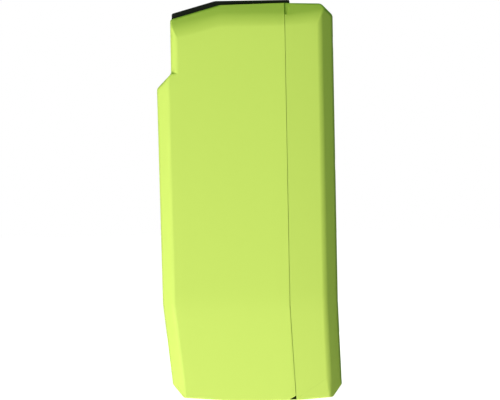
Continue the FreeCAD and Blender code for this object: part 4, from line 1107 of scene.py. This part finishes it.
@dataclass(frozen=True)
class Lamp:
    """A soft box that faces the pack from a direction."""

    name: str
    azimuth: float
    elevation: float
    size: float
    power: float
    colour: Colour = (1.0, 1.0, 1.0)
    distance: float = 1.1

    def build(self, target: Vector) -> None:
        """Places the lamp.  Azimuth 0 stands in front of the pack, 90 on its +X side."""
        data = bpy.data.lights.new(self.name, "AREA")
        data.shape = "SQUARE"
        data.size = self.size
        data.energy = self.power
        data.color = self.colour
        turn, rise = math.radians(self.azimuth), math.radians(self.elevation)
        out = Vector((math.sin(turn) * math.cos(rise), -math.cos(turn) * math.cos(rise),
                      math.sin(rise)))
        lamp = bpy.data.objects.new(self.name, data)
        lamp.location = target + out * self.distance
        lamp.rotation_euler = out.to_track_quat("Z", "Y").to_euler()
        lamp.visible_camera = False
        bpy.context.scene.collection.objects.link(lamp)


LAMPS = (
    Lamp("low_front", 50.0, -50.0, 0.8, 5.4, (0.98, 0.90, 1.00)),
    Lamp("low_side", 75.0, -50.0, 0.8, 5.0, (1.00, 0.87, 0.99)),
    Lamp("front_box", 25.0, -20.0, 0.8, 4.4, (0.95, 0.86, 1.00)),
    Lamp("key_box", 50.0, -20.0, 0.8, 4.1, (1.00, 0.74, 0.80)),
    Lamp("low_rear", 100.0, -50.0, 0.8, 1.8, (1.00, 0.88, 0.95)),
    Lamp("overhead", 75.0, 45.0, 0.8, 2.0, (0.42, 1.00, 0.10)),
    Lamp("edge_spot", 47.0, -4.0, 0.25, 1.4, (1.00, 0.80, 0.60)),
    Lamp("far_side", 270.0, 20.0, 1.0, 1.6),
    Lamp("rear_side", 235.0, 10.0, 1.0, 0.8),
)


@dataclass
class Studio:
    """A pale floor, an even background, soft boxes and the camera."""

    distance: float = 2.5
    near_side: float = 0.040
    picture_width: float = 193.65 * MM
    tilt: float = 1.06
    aim_shift: float = 0.465 * MM
    aim_height: float = 77.69 * MM
    ambient: float = 0.10
    ambient_tint: Colour = (0.62, 1.0, 0.55)
    floor_colour: Colour = (0.94, 0.94, 0.94)
    floor_stain: Colour = (0.90, 0.90, 0.90)
    floor_grain: float = 0.3
    floor_size: float = 12.0
    floor_drop: float = 0.05 * MM

    def build(self) -> None:
        """Makes the studio."""
        scene = bpy.context.scene
        scene.view_settings.view_transform = "Standard"
        self.make_world(scene)
        self.make_floor()
        self.make_camera(scene)
        for lamp in LAMPS:
            lamp.build(Vector((0.0, 0.0, self.aim_height)))

    def make_world(self, scene: bpy.types.Scene) -> None:
        """White behind the pack, a weaker even light on it."""
        world = bpy.data.worlds.new("studio")
        scene.world = world
        world.use_nodes = True
        nodes, links = world.node_tree.nodes, world.node_tree.links
        nodes.clear()
        output = nodes.new("ShaderNodeOutputWorld")
        mix = nodes.new("ShaderNodeMixShader")
        ray = nodes.new("ShaderNodeLightPath")
        even, backdrop = nodes.new("ShaderNodeBackground"), nodes.new("ShaderNodeBackground")
        even.inputs["Color"].default_value = (*self.ambient_tint, 1.0)
        even.inputs["Strength"].default_value = self.ambient
        backdrop.inputs["Color"].default_value = (1.0, 1.0, 1.0, 1.0)
        links.new(ray.outputs["Is Camera Ray"], mix.inputs[0])
        links.new(even.outputs[0], mix.inputs[1])
        links.new(backdrop.outputs[0], mix.inputs[2])
        links.new(mix.outputs[0], output.inputs["Surface"])

    def make_floor(self) -> None:
        """A wide pale floor that glows a little and is see-through from beneath.

        It casts no shadow on the pack, so the low lamps reach it through the floor.
        """
        mesh = bmesh.new()
        bmesh.ops.create_grid(mesh, x_segments=1, y_segments=1, size=self.floor_size)
        floor = as_object("floor", mesh)
        floor.location.z = -self.floor_drop
        paint = Paint("floor_paint")
        glow = paint.node("ShaderNodeEmission", inputs={"Color": (1, 1, 1, 1), "Strength": 1.0})
        matt = paint.node("ShaderNodeBsdfDiffuse", inputs={
            "Color": paint.mix(paint.noise(self.floor_grain), self.floor_colour,
                               self.floor_stain)})
        lit = paint.node("ShaderNodeAddShader", inputs={0: glow, 1: matt})
        below = paint.node("ShaderNodeNewGeometry", output="Backfacing")
        clear = paint.node("ShaderNodeBsdfTransparent")
        paint.node_output(paint.node("ShaderNodeMixShader", inputs={0: below, 1: lit, 2: clear}))
        floor.data.materials.append(paint.material)
        floor.visible_shadow = False
        floor.visible_diffuse = False
        floor.visible_glossy = False

    def make_camera(self, scene: bpy.types.Scene) -> None:
        """A long lens that looks square at the pack's +X side, a little tilted."""
        data = bpy.data.cameras.new("camera")
        data.lens = data.sensor_width * (self.distance - self.near_side) / self.picture_width
        data.clip_end = 50.0
        camera = bpy.data.objects.new("camera", data)
        lean = math.radians(self.tilt)
        right = Vector((0.0, math.cos(lean), -math.sin(lean)))
        up = Vector((0.0, math.sin(lean), math.cos(lean)))
        back = right.cross(up)
        turn = Matrix((right, up, back)).transposed().to_4x4()
        place = Matrix.Translation((self.distance, self.aim_shift, self.aim_height))
        camera.matrix_world = place @ turn
        scene.collection.objects.link(camera)
        scene.camera = camera


def main() -> None:
    """Builds every sub-assembly in order, then the studio."""
    logging.basicConfig(level=logging.INFO, format="%(message)s")
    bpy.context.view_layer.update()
    Internals().build()
    for part in (Casing(), Cap(), Label(), CaseScrews(), Terminals()):
        part.build()
    Studio().build()


if __name__ == "__main__":
    main()
